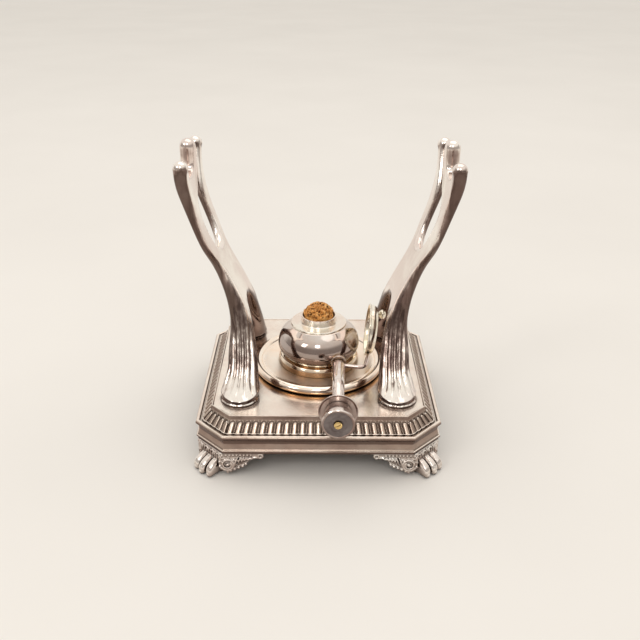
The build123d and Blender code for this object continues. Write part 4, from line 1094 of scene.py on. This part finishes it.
def bracket_parts(hand):
    """Bracket along one side of a corner. The foot points along +X, and hand is 1 or -1 for the side."""
    corner = Vector((CANTED, hand * CUT / sqrt(2), 0))
    along = Vector((-sin(BRACKET_TURN), hand * cos(BRACKET_TURN), 0))
    outward = Vector((cos(BRACKET_TURN), hand * sin(BRACKET_TURN), 0))
    parts = []

    def place(s, h, depth):
        """Point s along the bracket, h below the apron and depth out of its face."""
        return corner + along * s + outward * depth + Vector((0, 0, APRON - h))

    def line(points, depth, radius):
        """Raised line; a point may have a depth of its own."""
        path = spline([(s, h, *(own or [depth])) for s, h, *own in points], 18)
        parts.append(tube("line", [place(*q) for q in path], radius, 10))

    def bead(s, h, depth, radii):
        parts.append(blob(place(s, h, depth), radii))

    parts.append(slab(rounded(BRACKET_EDGE, 0.8, 3, True), place, -5, -2.4))
    # volute: a spiral that curls in to a button, with beads round it
    s0, h0 = VOLUTE
    spiral, thick = [], []
    for f in np.linspace(0, 1, 60):
        a = radians(-150) + f * radians(560)
        r = 5.5 - 2.9 * f
        spiral.append(place(s0 + r * cos(a), h0 - r * sin(a), -2.2 + 0.5 * f))
        thick.append(1.15 - 0.45 * f)
    parts.append(tube("spiral", spiral, thick, 12))
    bead(s0, h0, -1.9, (1.5, 1.5, 1.5))
    for a in circle(9):
        bead(s0 + 6.3 * cos(a), h0 + 6.3 * sin(a), -2.6, (1.15, 1.15, 1.15))
    # acanthus blades that lean towards the tip
    steps = np.linspace(0, 1, 18)
    swell = [0.35 + 0.4 * sin(pi * min(1, f * 1.15)) for f in steps]
    top = 3.6
    for k in range(6):
        s, low = 9.6 + 2.35 * k, 12.6 - 1.45 * k
        blade = [(s - 0.6, low, -2.4), (s - 0.2, (low + top) / 2 + 0.3, -1.5), (s + 1, top + 0.9, -1.7)]
        line(blade + [(s + 2, top, -2.5)], -2, swell)
    # lobes along the lower edge
    lobes = ((5.6, 16, 1.3), (8.6, 14.6, 1.35), (11.6, 13.2, 1.35), (14.6, 11.9, 1.35), (17.2, 10, 1.2))
    for s, h, r in lobes:
        bead(s, h, -2.2, (r, r, r))
    line([(17.4, 8.6), (19.4, 6.6), (22, 4.9), (25, 4.2), (27.4, 4.6)], -2.2, 0.62)
    # upper edge, with a row of small leaves
    line([(-2.6, 0.5), (8, 0.5), (18, 0.5), (29.6, 0.6)], -2.1, 0.6)
    for k in range(9):
        bead(-0.4 + 2.7 * k, 2.1, -2.3, (0.95, 0.95, 1.15))
    # end scroll and its spur
    turns = np.linspace(0, 2 * pi, 25)
    path = [place(28.3 + 1.6 * cos(a), 2.8 + 1.6 * sin(a), -2.1) for a in turns]
    parts.append(tube("ring", path, 0.72, 10))
    line([(28.8, 1.6), (30.4, 0.7), (32, 0.2)], -2.3, [0.8 - 0.45 * f for f in steps])
    # pendant under the volute
    bead(s0, 17.3, -2.6, (1.5, 1.5, 1.3))
    return parts


def toe_point(number, f):
    """Distance along the foot and to the side, at a share f of a toe; number is -1, 0 or 1."""
    root, tip = number * 6.3, number * 7.4
    return TOE_ROOT + TOE_LENGTH * f - TOE_SHORTER * abs(number) * f, root + (tip - root) * f


def toe_parts(number):
    """A toe with a ridge along both edges of its top, and a blunt tip."""
    shape = [(0, 14.2, 2.9), (0.25, 13.3, 3.15), (0.5, 12.2, 3.3), (0.72, 10.6, 3.35), (0.86, 9, 3.2)]
    shape += [(0.95, 7.2, 2.8), (1, 5.2, 1.9)]
    sections = []
    for f, top, half in shape:
        centre = (*toe_point(number, f), top / 2 + 0.05)
        sections.append((centre, (0, half, 0), (0.05 * top, 0, top / 2 - 0.1)))
    parts = [loft(sections, 2.7)]
    for edge in (-1.5, 1.5):
        ridge = []
        for f, top in ((0, 14.2), (0.25, 13.4), (0.5, 12.3), (0.72, 10.7)):
            d, y = toe_point(number, f)
            ridge.append((d, y + edge, top - 0.55))
        parts.append(tube("ridge", spline(ridge, 20), 0.6, 10))
    tip, y = 128.0 - TOE_SHORTER * abs(number), number * 7.4
    parts.append(blob((tip - 0.9, y, 2.5), (1.9, 2.2, 2.4)))
    parts.append(blob((tip - 1.6, y, 6.2), (1.9, 2.7, 1.9)))
    return parts


def leaf_band():
    """Four arched leaves under the canted apron."""
    parts = [loft([((116, 0, z), (0, 15, 0), (1.5, 0, 0)) for z in (13.8, APRON + 0.4)], 8)]
    for number in range(4):
        y = (number - 1.5) * LEAF_PITCH
        arch = [(118, y - 2.4, 12.9), (118.2, y - 2.45, 16)]
        arch += [(118.3, y + 2.45 * cos(a), 16.8 + 2.3 * sin(a)) for a in np.linspace(pi, 0, 9)]
        arch += [(118.2, y + 2.45, 16), (118, y + 2.4, 12.9)]
        parts.append(tube("arch", spline(arch, 40), 0.68, 10))
        parts.append(blob((117.5, y, 15.6), (1.1, 0.85, 2.6)))
    parts += [blob((117.6, (number - 2) * LEAF_PITCH, 18.9), (0.95, 0.85, 1.3)) for number in range(5)]
    return parts + [tube("edge", [(117.6, -15.2, 20.6), (117.6, 15.2, 20.6)], 0.6, 10)]


def paw_parts():
    """Ankle from the apron to the floor, the lug under its screw, three toes and the leaf band."""
    ankle = []
    for z, low, high, half in (
        (APRON, 103, 117.4, 9.5), (14, 103, 117.2, 9.8), (8, 102.6, 118, 10.2),
        (3, 102.4, 118.4, 10), (0.1, 103, 118, 9.2),
    ):
        ankle.append((((low + high) / 2, 0, z), (0, half, 0), ((high - low) / 2, 0, 0)))
    lug = 6
    middle, half = (SCREW_REACH + 108) / 2, (108 - SCREW_REACH) / 2
    parts = [loft(ankle, 4.5)]
    parts.append(loft([((SCREW_REACH, 0, z), (0, lug, 0), (lug, 0, 0)) for z in (APRON, APRON + 3)], 2))
    parts.append(loft([((middle, 0, z), (0, lug, 0), (half, 0, 0)) for z in (APRON - 3, APRON + 2.9)], 6))
    for number in (-1, 0, 1):
        parts += toe_parts(number)
    return parts + leaf_band()


foot_rough = join("foot_rough", paw_parts() + bracket_parts(1) + bracket_parts(-1))
foot_cast = remeshed("foot_cast", foot_rough.data, 0.00036, 2, 0.45)
points = read_points(foot_cast)
points[:, 2] = np.maximum(points[:, 2], 0)
set_points(foot_cast, points)
for corner, angle in CORNERS.items():
    foot = add_object("foot_cast_" + corner, foot_cast.data.copy())
    foot.data.transform(Matrix.Rotation(radians(angle), 4, "Z"))
    finish_piece(foot, "stand", foot_look, "foot_" + corner)
for spare in (foot_cast, foot_rough):
    bpy.data.objects.remove(spare)

# ---- screws, as the model has them
for name, node in frame["nodes"].items():
    if "screw" in name:
        node.data.materials.clear()
        node.data.materials.append(steel_look)

# ---- camera, as the photo was taken (metres)
CAMERA_PLACE = (-0.00394, -0.58593, 0.379776)
CAMERA_TILT = 26.48432  # degrees below the horizon
CAMERA_TURN = 0.48262  # degrees from +Y towards +X
CAMERA_ROLL = 0.54825  # degrees
FOCAL_LENGTH = 793.368  # pixels of a photo that is 640 wide
PHOTO_WIDTH = 640
SENSOR = 36.0

camera = add_object("camera", bpy.data.cameras.new("camera"))
camera.data.sensor_width = SENSOR
camera.data.lens = FOCAL_LENGTH / PHOTO_WIDTH * SENSOR
camera.data.clip_end = 50
camera.matrix_world = (
    Matrix.Translation(CAMERA_PLACE)
    @ Matrix.Rotation(radians(-CAMERA_TURN), 4, "Z")
    @ Matrix.Rotation(radians(90 - CAMERA_TILT), 4, "X")
    @ Matrix.Rotation(radians(CAMERA_ROLL), 4, "Z")
)
bpy.context.scene.camera = camera


# ---- floor and light (metres)
def lay_floor():
    """Pale floor, wide enough to reach past the view from any side."""
    half = 20 / MM
    corners = [(-half, -half, 0), (half, -half, 0), (half, half, 0), (-half, half, 0)]
    floor = mesh_object("floor", corners, [(0, 1, 2, 3)])
    look = Look("floor_paper")
    look.bsdf.inputs["Roughness"].default_value = 0.75
    look.bsdf.inputs["Specular IOR Level"].default_value = 0.2
    look.colour(look.ramp(look.noise(3, 3), [(0.3, (0.83, 0.81, 0.78)), (0.7, (0.86, 0.84, 0.81))]))
    floor.data.materials.append(look.material)


def lamp(name, place, size, power, colour):
    """Soft lamp of size (width, height) that points at the object."""
    data = bpy.data.lights.new(name, "AREA")
    data.shape = "RECTANGLE"
    data.size, data.size_y = size
    data.energy = power
    data.color = colour
    obj = add_object(name, data)
    obj.location = place
    obj.rotation_euler = (Vector((0, 0, 0.1)) - Vector(place)).to_track_quat("-Z", "Y").to_euler()


def studio_world():
    """Pale ceiling and pale wall behind the object; the side towards the camera is darker."""
    world = bpy.data.worlds.new("studio")
    bpy.context.scene.world = world
    wiring = Wiring(world)
    split = wiring.add("SeparateXYZ", Vector=wiring.add("TexCoord").outputs["Generated"])
    steps = []
    for axis, low, high in (("Z", 0.30, 0.62), ("Y", 0.10, 0.50)):
        step = wiring.add("MapRange", **{"From Min": low, "From Max": high, "Value": split.outputs[axis]})
        step.interpolation_type = "SMOOTHSTEP"
        steps.append(step.outputs["Result"])
    colour = wiring.mix(wiring.math("MAXIMUM", *steps), (0.40, 0.36, 0.33), (0.92, 0.88, 0.82))
    background = wiring.nodes["Background"].inputs
    wiring.feed(background["Color"], colour)
    background["Strength"].default_value = 1.0


lay_floor()
lamp("key_softbox", (-1.5, -1.35, 1.55), (0.5, 0.8), 5, (1, 0.97, 0.93))
lamp("near_softbox", (-0.1, -1.7, 1.6), (0.4, 0.7), 4, (1, 0.97, 0.94))
lamp("overhead", (0.2, 0.5, 2.2), (2.2, 1.8), 8, (1, 0.97, 0.94))
studio_world()
bpy.context.scene.view_settings.view_transform = "Standard"
